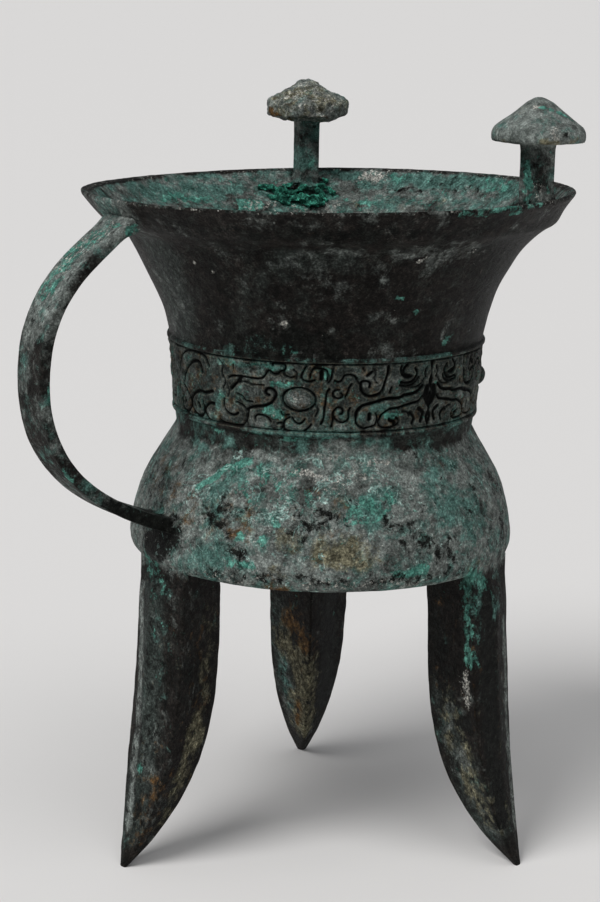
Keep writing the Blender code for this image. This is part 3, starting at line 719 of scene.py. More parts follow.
def handle_line():
    """The handle's outer line from the mouth to the belly, as distance from the axis and height."""
    top = np.array(HANDLE_TOP[:2])
    foot = np.array(HANDLE_FOOT[:2])
    widest = np.array((HANDLE_REACH, HANDLE_WIDEST_Z))
    rise = top[1] - widest[1]
    drop = widest[1] - foot[1]
    down = math.radians(HANDLE_TOP[2])
    up = math.radians(HANDLE_FOOT[2])
    top_pull = top + np.array((math.cos(down), math.sin(down))) * rise * 0.43
    foot_pull = foot + np.array((math.cos(up), math.sin(up))) * (widest[0] - foot[0]) * 0.65
    upper = bezier(top, top_pull, widest + (0, rise * 0.56), widest, 60)
    lower = bezier(widest, widest - (0, drop * 0.53), foot_pull, foot, 60)
    return curve(np.vstack([upper[::4], lower[4::4]]), HANDLE_STEP)


def make_handle():
    """The strap handle, with worn edges and a slightly uneven face, let into the wall at both ends."""
    path = handle_line()
    along = unit(np.gradient(path, axis=0))
    inward = np.stack([along[:, 1], -along[:, 0]], axis=1)
    last = len(path) - 1
    path[0] -= along[0] * HANDLE_LET_IN
    path[last] += along[last] * HANDLE_LET_IN
    rings = []
    middles = []
    for i, point in enumerate(path):
        share = 2 * i / last
        if share < 1:
            thick = mix(HANDLE_THICKNESS[0], HANDLE_THICKNESS[1], share)
        else:
            thick = mix(HANDLE_THICKNESS[1], HANDLE_THICKNESS[2], share - 1)
        from_top = i * HANDLE_STEP
        from_foot = (last - i) * HANDLE_STEP
        spread = 1.3 * math.exp(-(from_top / 3.0)**2) + 1.0 * math.exp(-(from_foot / 2.5)**2)
        half = HANDLE_WIDTH / 2 - 0.15 + spread
        flat = rounded([(-half, 0), (half, 0), (half, thick + spread), (-half, thick + spread)], 1.2, 4)
        x = point[0] + inward[i][0] * flat[:, 1]
        z = point[1] + inward[i][1] * flat[:, 1]
        places = np.stack([-x, flat[:, 0], z], axis=1)
        middles.append(places.mean(axis=0))
        out = unit(places - middles[-1])
        lift = 0.22 * noise(places, 14, 41) + 0.20 * rough(places, 4.5, 42) - 0.1
        lift *= min(1.0, from_top / 3, from_foot / 3)
        rings.append(places + out * lift[:, None])
    return loft("handle", rings, middles[0], middles[-1], turned=True)


def inner_mouth():
    """The inner side of the mouth from the neck up, as radius and height."""
    line = curve(INNER, 1.0)[::-1]
    return line[line[:, 1] > 215]


def wall_middle(radius):
    """Height of the middle of the mouth's wall at a distance from the axis."""
    outer = curve(FLARE, 1.0)
    inner = inner_mouth()
    below = np.interp(radius, outer[:, 0], outer[:, 1])
    above = np.interp(radius, inner[:, 0], inner[:, 1])
    return (below + above) / 2


def make_post(side):
    """A square post with softened edges, spreading a little where it grows out of the mouth."""
    centre = polar(POST_RADIUS, side * POST_ANGLE, 0.0)
    turn = math.radians(side * (POST_ANGLE + POST_TWIST))
    half = POST_SIDE / 2 if side > 0 else POST_SIDE / 2 + RIGHT_POST_SWELL
    flat = rounded([(-half, -half), (half, -half), (half, half), (-half, half)], 1.5, 4)
    x = centre[0] + flat[:, 0] * math.cos(turn) - flat[:, 1] * math.sin(turn)
    y = centre[1] + flat[:, 0] * math.sin(turn) + flat[:, 1] * math.cos(turn)
    foot = wall_middle(np.hypot(x, y))
    rings = []
    for level in np.append(0.0, np.linspace(0.06, 1, 22)):
        z = mix(foot, CAP_BASE + 4.0, level)
        above = np.maximum(z - foot - 1.4, 0)
        spread = 1.3 * np.exp(-(above / 2.2)**2) * (0 if level == 0 else 1)
        spread = spread + 0.6 * np.exp(-((CAP_BASE - z) / 1.8)**2)
        places = np.stack([x, y, z], axis=1)
        out = places - centre
        out = unit(out * (1, 1, 0))
        lift = spread + 0.12 * rough(places, 5, 51 + side)
        rings.append(places + out * lift[:, None])
    return loft(f"post_{side}", rings, rings[0].mean(axis=0), rings[-1].mean(axis=0))


def make_cap(side):
    """A mushroom cap: the left one is rough with crust, the right one is smoother."""
    centre = polar(POST_RADIUS, side * POST_ANGLE, 0.0)
    height = CAP_TOP - CAP_BASE
    outline = CRUST_OUTLINE if side > 0 else CAP_OUTLINE
    line = curve([(CAP_RADIUS * r, CAP_BASE + height * h) for r, h in outline], 1.0)
    line[:, 0] = np.minimum(line[:, 0], CAP_RADIUS)
    count = 96 if side > 0 else 72
    angles = np.linspace(0, 360, count, endpoint=False)
    along = unit(np.gradient(line, axis=0))
    normals = np.stack([-along[:, 1], along[:, 0]], axis=1)
    rings = []
    for point, normal in zip(line[1:], normals[1:]):
        flat = polar(np.full(count, point[0]), angles, point[1]) + centre
        if side > 0:
            lift = 0.7 * noise(flat, 5, 61) + 1.15 * rough(flat, 2.1, 62) - 0.6
        else:
            lift = 0.3 * noise(flat, 8, 63) + 0.3 * rough(flat, 3, 64) - 0.1
        lift = np.minimum(lift, CAP_TOP - point[1])
        radius = point[0] + normal[0] * lift
        z = point[1] + normal[1] * lift
        rings.append(polar(radius, angles, z) + centre)
    top = centre + (0, 0, rings[0][:, 2].mean() + 0.05)
    return loft(f"cap_{side}", rings, top, centre + (0, 0, line[-1][1]), turned=True)


def inner_radius(z):
    """Radius of the inner side of the mouth at a height."""
    line = inner_mouth()
    return np.interp(z, line[:, 1], line[:, 0])


def make_rope(number, thick, points):
    """One twisted lump of corrosion that lies on the inner wall."""
    knots = []
    for degrees, z, lift in points:
        knots.append(polar(inner_radius(z) - lift * 0.75, degrees, z + lift * 0.65))
    path = curve(np.array(knots), 0.8)
    along = unit(np.gradient(path, axis=0))
    rings = []
    sizes = []
    turns = np.radians(np.linspace(0, 360, 14, endpoint=False))
    for i, point in enumerate(path):
        share = i / (len(path) - 1)
        size = 0.84 * thick * (0.45 + 0.55 * math.sin(math.pi * min(max(share, 0.06), 0.94)))
        first = np.cross(along[i], (0, 0, 1))
        first /= np.linalg.norm(first)
        second = np.cross(along[i], first)
        ring_places = point + size * (np.cos(turns)[:, None] * first + np.sin(turns)[:, None] * second)
        push = np.clip(1 + 1.7 * rough(ring_places, 1.9, 71 + number), 0.4, 1.9)
        rings.append(point + (ring_places - point) * push[:, None])
        sizes.append(size)
    start = path[0] - along[0] * sizes[0] * 0.6
    end = path[-1] + along[-1] * sizes[-1] * 0.6
    return loft(f"rope_{number}", rings, start, end)


def facing_out(thing):
    """Turns a closed mesh's faces outwards if they point inwards."""
    mesh = thing.data
    mesh.calc_loop_triangles()
    places = corner_values(mesh, "co")
    triangles = np.empty(len(mesh.loop_triangles) * 3, dtype=np.int32)
    mesh.loop_triangles.foreach_get("vertices", triangles)
    a, b, c = places[triangles.reshape(-1, 3)].transpose(1, 0, 2)
    if np.einsum("ij,ij->i", a, np.cross(b, c)).sum() < 0:
        mesh.flip_normals()
    return thing


def combine(body, others):
    """Adds and cuts the other closed shapes, one after another, and returns the finished mesh."""
    for operation, thing in others:
        step = body.modifiers.new(thing.name, "BOOLEAN")
        step.operation = operation
        step.solver = "MANIFOLD"
        step.object = facing_out(thing)
    bpy.context.view_layer.update()
    graph = bpy.context.evaluated_depsgraph_get()
    mesh = bpy.data.meshes.new_from_object(body.evaluated_get(graph))
    for _, thing in others:
        bpy.data.objects.remove(thing, do_unlink=True)
    bpy.data.objects.remove(body, do_unlink=True)
    return mesh


def uneven(places):
    """The casting's own lopsidedness: a sloping lip, a shifted neck and one leg that stands out."""
    x, y, z = places.T
    angle = turn_of(places)
    radius = np.hypot(x, y)
    on_mouth = smoothstep(240, 270, z) * (1 - smoothstep(276, 290, z)) * smoothstep(60, 80, radius)
    low_side = np.exp(-(turn_gap(angle, 108) / 38)**2)
    high_side = np.exp(-(turn_gap(angle, 320) / 45)**2)
    drop = -1.2 * low_side + 0.6 * high_side
    to_right = np.cos(np.radians(angle - PHOTO_RIGHT))
    to_front = np.cos(np.radians(angle - PHOTO_FRONT))
    tilt = 1.1 + 1.1 * to_right + 0.45 * to_front
    z = z + (drop + tilt) * on_mouth - 1.1 * smoothstep(276, 298, z) * (y > 0)
    neck = smoothstep(150, 185, z) * (1 - smoothstep(225, 255, z))
    right = np.radians(-34.1)
    x = x + 0.45 * math.cos(right) * neck
    y = y + 0.45 * math.sin(right) * neck
    full = 3.2 * np.exp(-((z - 260) / 6.5)**2) - 1.4 * np.exp(-((z - 237) / 9)**2)
    on_right = np.exp(-(turn_gap(angle, PHOTO_RIGHT) / 45)**2)
    swell = 1 + full * on_right * smoothstep(50, 60, radius) / np.maximum(radius, 1)
    x = x * swell
    y = y * swell
    on_leg = smoothstep(30, 70, z) * (1 - smoothstep(100, 121, z)) * (np.abs(turn_gap(angle, 300)) < 25)
    push = 1 + 1.1 * on_leg / np.maximum(radius, 1)
    return np.stack([x * push, y * push, z], axis=1)


# Patina. Every layer has a general amount for each part of the vessel.
LAYERS = ("grey", "green", "teal", "soil", "rust", "dark", "pale", "worn", "vein", "vivid", "film_and_sheen")
GENERAL = {
    "flare": (0.37, 0.09, 0.05, 0.0, 0.13, 0.30, 0.12, 0.85, 0.0, 0.0, 0.52),
    "band": (0.50, 0.44, 0.28, 0.20, 0.44, 0.18, 0.16, 0.35, 0.1, 0.0, 1.2),
    "ridge": (0.44, 0.60, 0.24, 0.0, 0.05, 0.25, 0.06, 0.3, 0.1, 0.0, 0.3),
    "neck": (0.22, 0.50, 0.16, 0.26, 0.16, 0.24, 0.05, 0.1, 0.0, 0.0, 0.85),
    "belly": (0.92, 0.52, 0.25, 0.18, 0.18, 0.33, 0.20, 0.15, 0.44, 0.0, 0.4),
    "under": (0.4, 0.3, 0.1, 0.4, 0.05, 0.4, 0.0, 0.0, 0.0, 0.0, 0.2),
    "leg": (0.32, 0.28, 0.14, 0.22, 0.28, 0.46, 0.09, 0.1, 0.1, 0.0, 0.45),
    "handle": (0.50, 0.42, 0.18, 0.08, 0.10, 0.34, 0.10, 0.25, 0.15, 0.0, 0.6),
    "cap": (0.96, 0.44, 0.12, 0.28, 0.18, 0.14, 0.14, 0.1, 0.1, 0.0, 0.9),
    "post": (0.62, 0.58, 0.28, 0.08, 0.03, 0.30, 0.08, 0.2, 0.2, 0.0, 0.4),
    "mouth": (0.76, 0.60, 0.32, 0.18, 0.10, 0.20, 0.12, 0.1, 0.2, 0.0, 0.5),
    "inside": (0.3, 0.4, 0.15, 0.3, 0.05, 0.4, 0.02, 0.0, 0.0, 0.0, 0.3),
    "lip": (0.50, 0.40, 0.24, 0.0, 0.05, 0.45, 0.34, 0.2, 0.0, 0.0, 0.2),
    "rope": (0.20, 0.20, 0.10, 0.0, 0.0, 0.05, 0.05, 0.2, 0.0, 0.97, 0.0),
}

# How strongly the crust's light and dark and its bumps show on a part. Elsewhere it is 1.
CRUST = {"cap": 1.15, "flare": 1.3, "band": 1.15, "rope": 1.5, "leg": 1.15}
CRUST_RIGHT_CAP = 0.8

# Patches that show in the photograph, by layer: amount, half width in millimetres, and the places
# in the picture, across and down, that the patch runs through. Within a layer they come in this
# order: belly, neck, flare, band, inside of the mouth, lip, handle, left leg, back leg, right leg,
# caps and posts.
# Some of these patches are painted light or shade rather than the bronze's own colour; each says so
# where it stands.
PATCHES = {
    "grey": [
        # painted highlight: the top of the belly, lighter where the light falls on it
        (1.2, 9, [(325, 470), (370, 468), (400, 475)]),
        # painted highlight: a light band along the belly's shoulder just under the neck
        (0.95, 3, [(215, 458), (260, 460), (320, 463), (390, 463), (440, 455)]),
        (0.56, 6, [(268, 272), (285, 263), (305, 260), (328, 258)]),
        (0.56, 5, [(396, 256), (426, 250)]),
        (0.46, 7, [(245, 300), (262, 292), (280, 300)]),
        (0.62, 6, [(438, 259), (458, 253), (482, 250)]),
        # painted sheen: lighter down the flare's left side
        (0.5, 11, [(160, 255), (172, 290), (178, 325)]),
        (0.4, 8, [(330, 320)]),
        (0.9, 5, [(299, 398)]),
        (0.95, 6, [(165, 184), (220, 178), (280, 172)]),
        (0.95, 6, [(366, 177), (385, 180)]),
        (0.92, 7, [(104, 212), (116, 214), (124, 222)]),
        (0.85, 5, [(96, 198), (116, 202)]),
        (2, 9, [(48, 290), (60, 270), (80, 247), (105, 232)]),
        (0.66, 8, [(45, 300), (28, 340), (22, 380)]),
        # painted light: the left leg's narrow left face, lighter where the light falls
        (1.15, 3.2, [(142, 590), (141, 640), (139, 700), (134, 760), (128, 820)]),
        (0.42, 1, [(185, 580), (181, 650), (175, 720)]),
        (0.6, 8, [(280, 650), (288, 690), (298, 730)]),
        (0.6, 8, [(446, 706), (456, 745), (470, 785), (487, 825)]),
        (0.95, 3, [(504, 620), (506, 700), (510, 760), (514, 820)]),
        (1.5, 14, [(295, 92), (325, 103)]),
        (0.7, 2, [(297, 130), (297, 172)]),
        # painted highlight: a light line down one rounded edge of the right post
        (0.7, 1.2, [(538, 165), (538, 198)]),
    ],
    "green": [
        (0.62, 12, [(215, 500), (235, 540)]),
        (0.62, 9, [(350, 530), (380, 500)]),
        (0.75, 12, [(440, 490), (470, 530)]),
        (0.7, 8, [(190, 560), (215, 575)]),
        (0.95, 4.5, [(369, 508), (380, 514)]),
        (0.75, 3, [(230, 440)]),
        (0.7, 3, [(300, 446)]),
        (0.75, 3.5, [(372, 441)]),
        (0.7, 4, [(232, 352), (262, 346), (290, 349)]),
        (0.85, 2.8, [(375, 409), (390, 411)]),
        (0.75, 2.2, [(338, 410), (346, 414)]),
        (0.65, 2, [(394, 389), (400, 392)]),
        (0.9, 1.5, [(222, 359), (240, 361), (262, 363), (290, 365)]),
        (0.85, 4, [(155, 188), (200, 189), (240, 190)]),
        (0.95, 3, [(344, 177), (357, 177)]),
        (0.8, 6, [(400, 179), (440, 179), (480, 183), (508, 187)]),
        (0.75, 7, [(104, 212), (116, 216)]),
        (0.56, 7, [(60, 270), (80, 247), (105, 232)]),
        (0.36, 8, [(163, 600), (163, 700)]),
        (0.62, 7, [(282, 655), (288, 700)]),
        (0.62, 6, [(476, 580), (480, 630)]),
        (0.7, 5, [(496, 578), (497, 612)]),
    ],
    "teal": [
        (0.95, 1.6, [(200, 484), (217, 477), (230, 467), (250, 462)]),
        (0.5, 8, [(250, 480), (262, 490), (272, 482)]),
        (0.58, 4.5, [(352, 505), (372, 512), (385, 500)]),
        (0.7, 1.8, [(277, 490), (290, 477), (300, 471)]),
        (0.85, 1.3, [(275, 515), (280, 525)]),
        (0.95, 1.8, [(240, 537)]),
        (0.95, 2, [(260, 542)]),
        (0.85, 1.7, [(228, 563), (240, 564), (252, 566)]),
        (1, 1.8, [(371, 507)]),
        (0.75, 1.2, [(335, 519), (358, 521), (378, 519), (390, 510)]),
        (0.75, 1.8, [(397, 573), (411, 572), (424, 568)]),
        (0.55, 5, [(150, 560), (158, 575)]),
        (0.52, 6, [(262, 490), (300, 500)]),
        (0.75, 2, [(284, 348), (296, 350)]),
        (0.8, 1.2, [(397, 299), (402, 300)]),
        (0.6, 1.2, [(412, 310), (416, 313)]),
        (0.55, 2, [(443, 340), (452, 339)]),
        (0.8, 2.6, [(268, 410), (277, 414)]),
        (0.6, 2, [(273, 384), (285, 381)]),
        (0.62, 2.4, [(318, 367), (328, 371)]),
        (0.6, 1.8, [(401, 370), (403, 380)]),
        (0.65, 1.8, [(385, 417), (400, 416)]),
        (0.6, 1, [(235, 361), (262, 364), (285, 366)]),
        (0.55, 1, [(200, 424), (225, 431), (260, 435), (300, 438), (350, 438)]),
        (0.62, 3.2, [(162, 199), (185, 195), (206, 198)]),
        (0.85, 3.6, [(243, 203), (256, 204)]),
        (0.8, 2.6, [(291, 206), (304, 208)]),
        (0.85, 4, [(325, 203), (343, 207)]),
        (0.6, 5, [(268, 196), (300, 198), (330, 196)]),
        (0.55, 4, [(398, 180), (416, 178)]),
        (0.55, 4, [(488, 184), (507, 185)]),
        (0.6, 2, [(330, 196), (350, 200), (380, 202)]),
        (0.6, 2, [(462, 210), (500, 209), (540, 205)]),
        (0.6, 6, [(48, 290), (75, 250), (98, 236)]),
        (0.85, 2.5, [(118, 227), (136, 231)]),
        (0.85, 1.6, [(48, 387), (50, 398)]),
        (0.85, 1.6, [(64, 472), (70, 481)]),
        (0.6, 1.2, [(33, 442), (45, 470), (62, 498)]),
        (0.3, 8, [(160, 570), (163, 620), (160, 680)]),
        (0.55, 4, [(158, 568), (163, 590)]),
        (0.8, 2, [(140, 768)]),
        (0.7, 1.2, [(333, 615), (326, 640), (321, 652)]),
        (0.72, 3.4, [(465, 585), (467, 620), (469, 662)]),
        (0.7, 4, [(470, 574), (486, 590)]),
        (0.7, 1.2, [(541, 107), (558, 114), (574, 122)]),
        (0.55, 3, [(310, 158), (308, 178)]),
        (0.65, 3, [(528, 168), (528, 192)]),
    ],
    "soil": [
        (0.6, 3, [(270, 573), (284, 576)]),
        (0.6, 5, [(285, 540), (303, 545)]),
        (0.85, 7, [(325, 553), (345, 555), (366, 556)]),
        (0.55, 2.2, [(467, 568), (490, 562)]),
        (0.45, 5, [(350, 205), (400, 205), (450, 203)]),
        (0.78, 7, [(197, 722), (190, 752), (180, 782)]),
        (0.56, 7, [(208, 620), (205, 690), (196, 740), (180, 790), (160, 822)]),
        (0.86, 8, [(284, 640), (300, 655), (304, 690), (300, 725)]),
        (0.66, 8, [(450, 700), (470, 780), (490, 820)]),
        (0.62, 14, [(290, 100), (325, 103)]),
        (0.7, 6, [(298, 92), (328, 102)]),
        (0.8, 1.2, [(500, 140), (540, 142), (578, 139)]),
    ],
    "rust": [
        (0.8, 2.4, [(231, 536)]),
        (0.75, 2.6, [(181, 520)]),
        (0.6, 2.2, [(236, 554)]),
        (0.55, 9, [(222, 512), (240, 520)]),
        (0.5, 10, [(165, 470), (175, 500), (200, 520)]),
        (0.45, 10, [(320, 510), (345, 500)]),
        (0.62, 6, [(150, 790), (143, 815)]),
        (0.46, 9, [(160, 790), (138, 836)]),
        (0.45, 6, [(200, 620), (198, 720)]),
        (0.85, 2.5, [(300, 706), (298, 722)]),
        (0.8, 6, [(276, 590), (290, 620), (302, 640)]),
        (0.4, 7, [(440, 600), (446, 690)]),
        (0.95, 1.8, [(270, 112), (276, 115), (290, 119)]),
        (0.7, 1.5, [(328, 116), (345, 117)]),
    ],
    "dark": [
        (0.62, 8, [(215, 512), (226, 520)]),
        # painted shade: darker at the belly's left limb
        (0.9, 7, [(152, 522), (166, 530), (152, 545)]),
        (0.7, 2.5, [(230, 555), (242, 554)]),
        (0.55, 5, [(386, 524), (405, 529)]),
        (0.5, 8, [(410, 542), (428, 548), (445, 545)]),
        (0.6, 2, [(473, 485), (476, 510)]),
        # painted shade: the belly's left and right limbs, darker where the light falls off
        (0.46, 10, [(152, 478), (160, 500)]),
        (0.52, 9, [(492, 475), (502, 515), (498, 560)]),
        (0.6, 5, [(300, 530), (330, 520)]),
        (0.56, 2.6, [(205, 571), (260, 580), (330, 583), (400, 579), (462, 569)]),
        (0.75, 7, [(250, 348), (300, 340), (330, 350)]),
        # painted shadow: a dark band just under the lip's overhang
        (0.6, 4, [(175, 226), (230, 231), (300, 233), (400, 231), (500, 222)]),
        # painted shade: the flare's right side, turned away from the light
        (0.8, 17, [(505, 250), (490, 300), (478, 340)]),
        (0.5, 12, [(210, 280), (215, 330)]),
        (0.95, 5, [(88, 186), (110, 183), (138, 184)]),
        (0.46, 4, [(432, 181), (455, 181), (478, 184)]),
        # painted shade: a thin dark line in the crease of the mouth's back wall
        (0.6, 1.2, [(382, 190), (430, 190), (470, 191), (508, 192)]),
        (0.75, 5, [(110, 512), (140, 520)]),
        (0.6, 3, [(290, 622), (300, 652)]),
        # painted shade: the back leg's right face, turned away from the light
        (0.95, 7, [(328, 600), (328, 660), (322, 700)]),
        # painted shade: the right leg's outer face, turned away from the light
        (0.92, 5, [(487, 600), (488, 680), (494, 760), (503, 820)]),
        (0.85, 3, [(462, 722), (470, 728)]),
        # painted shadow: the upper part of the right leg's inner face, under the belly
        (0.6, 8, [(436, 585), (440, 640), (446, 690)]),
        (0.95, 1.6, [(565, 134)]),
    ],
    "pale": [
        (0.3, 10, [(260, 520), (285, 510)]),
        # painted highlights: glints on the lit top of the belly, and below a light line along the
        # shoulder's crease
        (0.6, 1.6, [(290, 477), (300, 471), (315, 476), (327, 480)]),
        (0.42, 5, [(325, 490), (345, 480), (365, 470)]),
        (0.55, 1.2, [(322, 455), (355, 456), (388, 461)]),
        (0.4, 2.4, [(205, 573), (260, 583)]),
        (0.42, 2.4, [(300, 586), (345, 586), (420, 580)]),
        (1, 1, [(282, 323), (285, 328)]),
        (0.7, 0.8, [(471, 253), (478, 248)]),
        (0.7, 0.8, [(420, 264), (428, 258)]),
        (0.9, 0.7, [(195, 262)]),
        (0.9, 0.7, [(222, 260)]),
        (0.8, 0.7, [(213, 275)]),
        (0.8, 0.7, [(230, 312)]),
        (0.45, 2.2, [(270, 411), (277, 414)]),
        # painted highlight: light specks on the raised eyeball
        (0.4, 5, [(299, 396)]),
        (0.45, 4, [(246, 204), (300, 207), (335, 205)]),
        (0.7, 3, [(366, 177), (380, 178)]),
        (0.44, 7, [(60, 270), (80, 247), (105, 232)]),
        (0.6, 1.2, [(27, 345), (33, 360)]),
        (0.66, 2.6, [(466, 676), (468, 704)]),
        (0.42, 12, [(292, 96), (325, 100)]),
        (0.26, 14, [(300, 92), (330, 105)]),
        (0.95, 1, [(507, 126)]),
        (0.9, 1, [(538, 107)]),
        (0.55, 3, [(556, 131)]),
        (0.5, 2.4, [(536, 188), (538, 200), (546, 201)]),
    ],
    "vein": [
        (1.1, 8, [(280, 496), (300, 482), (327, 484), (360, 480)]),
        (0.9, 8, [(325, 485), (365, 475)]),
        (0.75, 7, [(190, 488), (250, 480), (275, 504)]),
    ],
    "film_and_sheen": [
        (0.85, 8, [(262, 274), (290, 262), (335, 258)]),
        (0.66, 9, [(240, 318), (270, 300), (310, 310)]),
        # painted sheen: lighter down the flare's left side, where the light falls
        (1.4, 12, [(160, 255), (172, 290), (178, 325)]),
        # painted light: the left leg's narrow left face, lit from the left
        (1.5, 8, [(150, 590), (150, 640), (146, 700), (140, 760), (130, 820)]),
        (1.2, 8, [(280, 610), (284, 660), (296, 720)]),
        (1.2, 9, [(446, 706), (456, 745), (470, 785), (487, 825)]),
    ],
}

# The hidden sides carry the same patches again, turned away and weaker.
# This copies the painted highlights, sheen and shade as well.
ECHO_TURNS = {"body": (152, 255), "leg": (120, 240)}
ECHO_SHARE = 0.8


def part_names(places):
    """Which part of the vessel each corner belongs to."""
    x, y, z = places.T
    radius = np.hypot(x, y)
    outer_line = np.vstack([curve(BELLY, 2), NECK, [(61.9, 186), (63.9, 212)], curve(FLARE, 2)])
    outer = np.interp(z, outer_line[:, 1], outer_line[:, 0])
    names = np.full(len(places), "belly", dtype=object)
    names[z > 177] = "neck"
    names[z > 183.2] = "ridge"
    names[z > 186.2] = "band"
    names[z > 212.2] = "ridge"
    names[z > 214.8] = "flare"
    within = (radius < outer - 1.6) & (z > 126.5)
    names[within] = "inside"
    names[within & (z > 250)] = "mouth"
    names[(z > 271.9) & (z < 276)] = "mouth"
    floor = 123.5 + UNDERSIDE_SAG * (radius / 73)**2
    names[(radius < 74.5) & (z > floor) & (z < 135)] = "inside"
    names[(radius < 76) & (z < floor)] = "under"
    names[z < 121.6] = "leg"
    beyond = (np.abs(y) < 11) & (x < 0) & (radius > outer + 1.3) & (z > 130)
    names[beyond] = "handle"
    names[(z > 271.4) & (z < 276) & (radius > 97)] = "lip"
    by_post = np.abs(turn_gap(turn_of(places), 65)) < 14
    names[(radius < inner_radius(z) - 1.0) & (z > 254) & (z < 274) & by_post] = "rope"
    for side in (1, -1):
        centre = polar(POST_RADIUS, side * POST_ANGLE, 0.0)
        near = np.hypot(x - centre[0], y - centre[1])
        names[(near < 7.6) & (z > wall_middle(np.minimum(radius, 99)) + 2.2)] = "post"
        names[(near < 21) & (z > CAP_BASE - 1.5)] = "cap"
    return names


def seen_places(points, tree):
    """Where places in the picture land on the vessel, in millimetres, without those that miss it."""
    camera = bpy.context.scene.camera
    turn = camera.matrix_world.to_3x3()
    start = camera.matrix_world.translation
    out = []
    for x, y in points:
        aim = turn @ Vector(((x - IMAGE_WIDTH / 2) / FOCAL_PIXELS,
                             (IMAGE_HEIGHT / 2 - y) / FOCAL_PIXELS, -1.0))
        hit = tree.ray_cast(start, aim)[0]
        if hit is not None:
            out.append(((hit.x - AXIS_X) / MM, hit.y / MM, hit.z / MM))
    return np.array(out)


def line_gap(places, line):
    """Distance from each place to a line through points, in millimetres."""
    if len(line) == 1:
        return np.linalg.norm(places - line[0], axis=1)
    near = np.full(len(places), 1e9)
    for a, b in zip(line, line[1:]):
        span = b - a
        t = np.clip((places - a) @ span / (span @ span), 0, 1)
        near = np.minimum(near, np.linalg.norm(places - a - t[:, None] * span, axis=1))
    return near


def turned_line(line, degrees):
    """A line's points turned round the vessel's axis."""
    turn = math.radians(degrees)
    c = math.cos(turn)
    s = math.sin(turn)
    return line @ np.array([[c, s, 0], [-s, c, 0], [0, 0, 1]])


def paint(mesh, places):
    """Writes on the corners how much of every patina layer they have, how far the nearest groove
    is, and how strong the crust is."""
    names = part_names(places)
    final = uneven(places)
    faces = [tuple(face.vertices) for face in mesh.polygons]
    tree = BVHTree.FromPolygons((final * MM + (AXIS_X, 0, 0)).tolist(), faces)
    waves = [1.6 * noise(final, 9, 81 + k) + 0.7 * noise(final, 3.5, 91 + k) for k in range(3)]
    wavy = final + np.stack(waves, axis=1)
    amounts = np.zeros((len(places), len(LAYERS)))
    for name, levels in GENERAL.items():
        amounts[names == name] = levels
    soft = smoothstep(173, 180, places[:, 2] + 3.5 * rough(places, 10, 99))[:, None]
    blend = mix(np.array(GENERAL["belly"]), np.array(GENERAL["neck"]), soft)
    shoulder = np.isin(names, ("belly", "neck")) & (places[:, 2] > 165)
    amounts[shoulder] = blend[shoulder]
    sight = polar(CAMERA_DISTANCE, CAMERA_AZIMUTH, CAMERA_HEIGHT) - final
    hidden = np.einsum("ij,ij->i", corner_values(mesh, "normal"), sight) < 0
    inner_side = np.isin(names, ("mouth", "inside"))
    patches = [(layer, *patch) for layer, group in PATCHES.items() for patch in group]
    for layer, amount, half_width, points in patches:
        line = seen_places(points, tree)
        if len(line) == 0:
            continue
        same_side = inner_side == (part_names(line)[0] in ("mouth", "inside"))
        n = LAYERS.index(layer)
        lays = [(line, amount)]
        on_bowl_or_leg = line[:, 2].min() < 276 and np.hypot(line[:, 0], line[:, 1]).max() < 102
        if on_bowl_or_leg:
            turns = ECHO_TURNS["leg" if line[:, 2].mean() < 118 else "body"]
            lays += [(turned_line(line, degrees), amount * ECHO_SHARE) for degrees in turns]
        for lay, strength in lays:
            low = lay.min(axis=0) - half_width * 2.4 - 2
            high = lay.max(axis=0) + half_width * 2.4 + 2
            near = np.all((wavy > low) & (wavy < high), axis=1) & same_side
            if lay is not line:
                near &= hidden
            gap = line_gap(wavy[near], lay) / half_width
            amounts[near, n] = np.maximum(amounts[near, n], strength * (1 - smoothstep(0.3, 2.2, gap)))
    for n, layer in enumerate(LAYERS):
        write(mesh, layer, amounts[:, n])
    gap = band_relief(turn_of(places), places[:, 2])[1]
    on_band = (names == "band") | (names == "ridge")
    write(mesh, "gap", np.where(on_band, np.clip(gap, -0.6, 2.0), 2.0))
    crust = np.ones(len(places))
    for name, level in CRUST.items():
        crust[names == name] = level
    crust[(names == "cap") & (places[:, 1] < 0)] = CRUST_RIGHT_CAP
    write(mesh, "crust", crust)


def write(mesh, name, values):
    """Stores one number for each corner of the mesh."""
    layer = mesh.attributes.new(name, "FLOAT", "POINT")
    layer.data.foreach_set("value", np.asarray(values, dtype=np.float32))


def screen(red, green, blue):
    """A colour given as it looks on screen, from 0 to 255, as the shader needs it."""
    out = []
    for value in (red, green, blue):
        c = value / 255
        out.append(c / 12.92 if c <= 0.04045 else ((c + 0.055) / 1.055)**2.4)
    return (*out, 1.0)


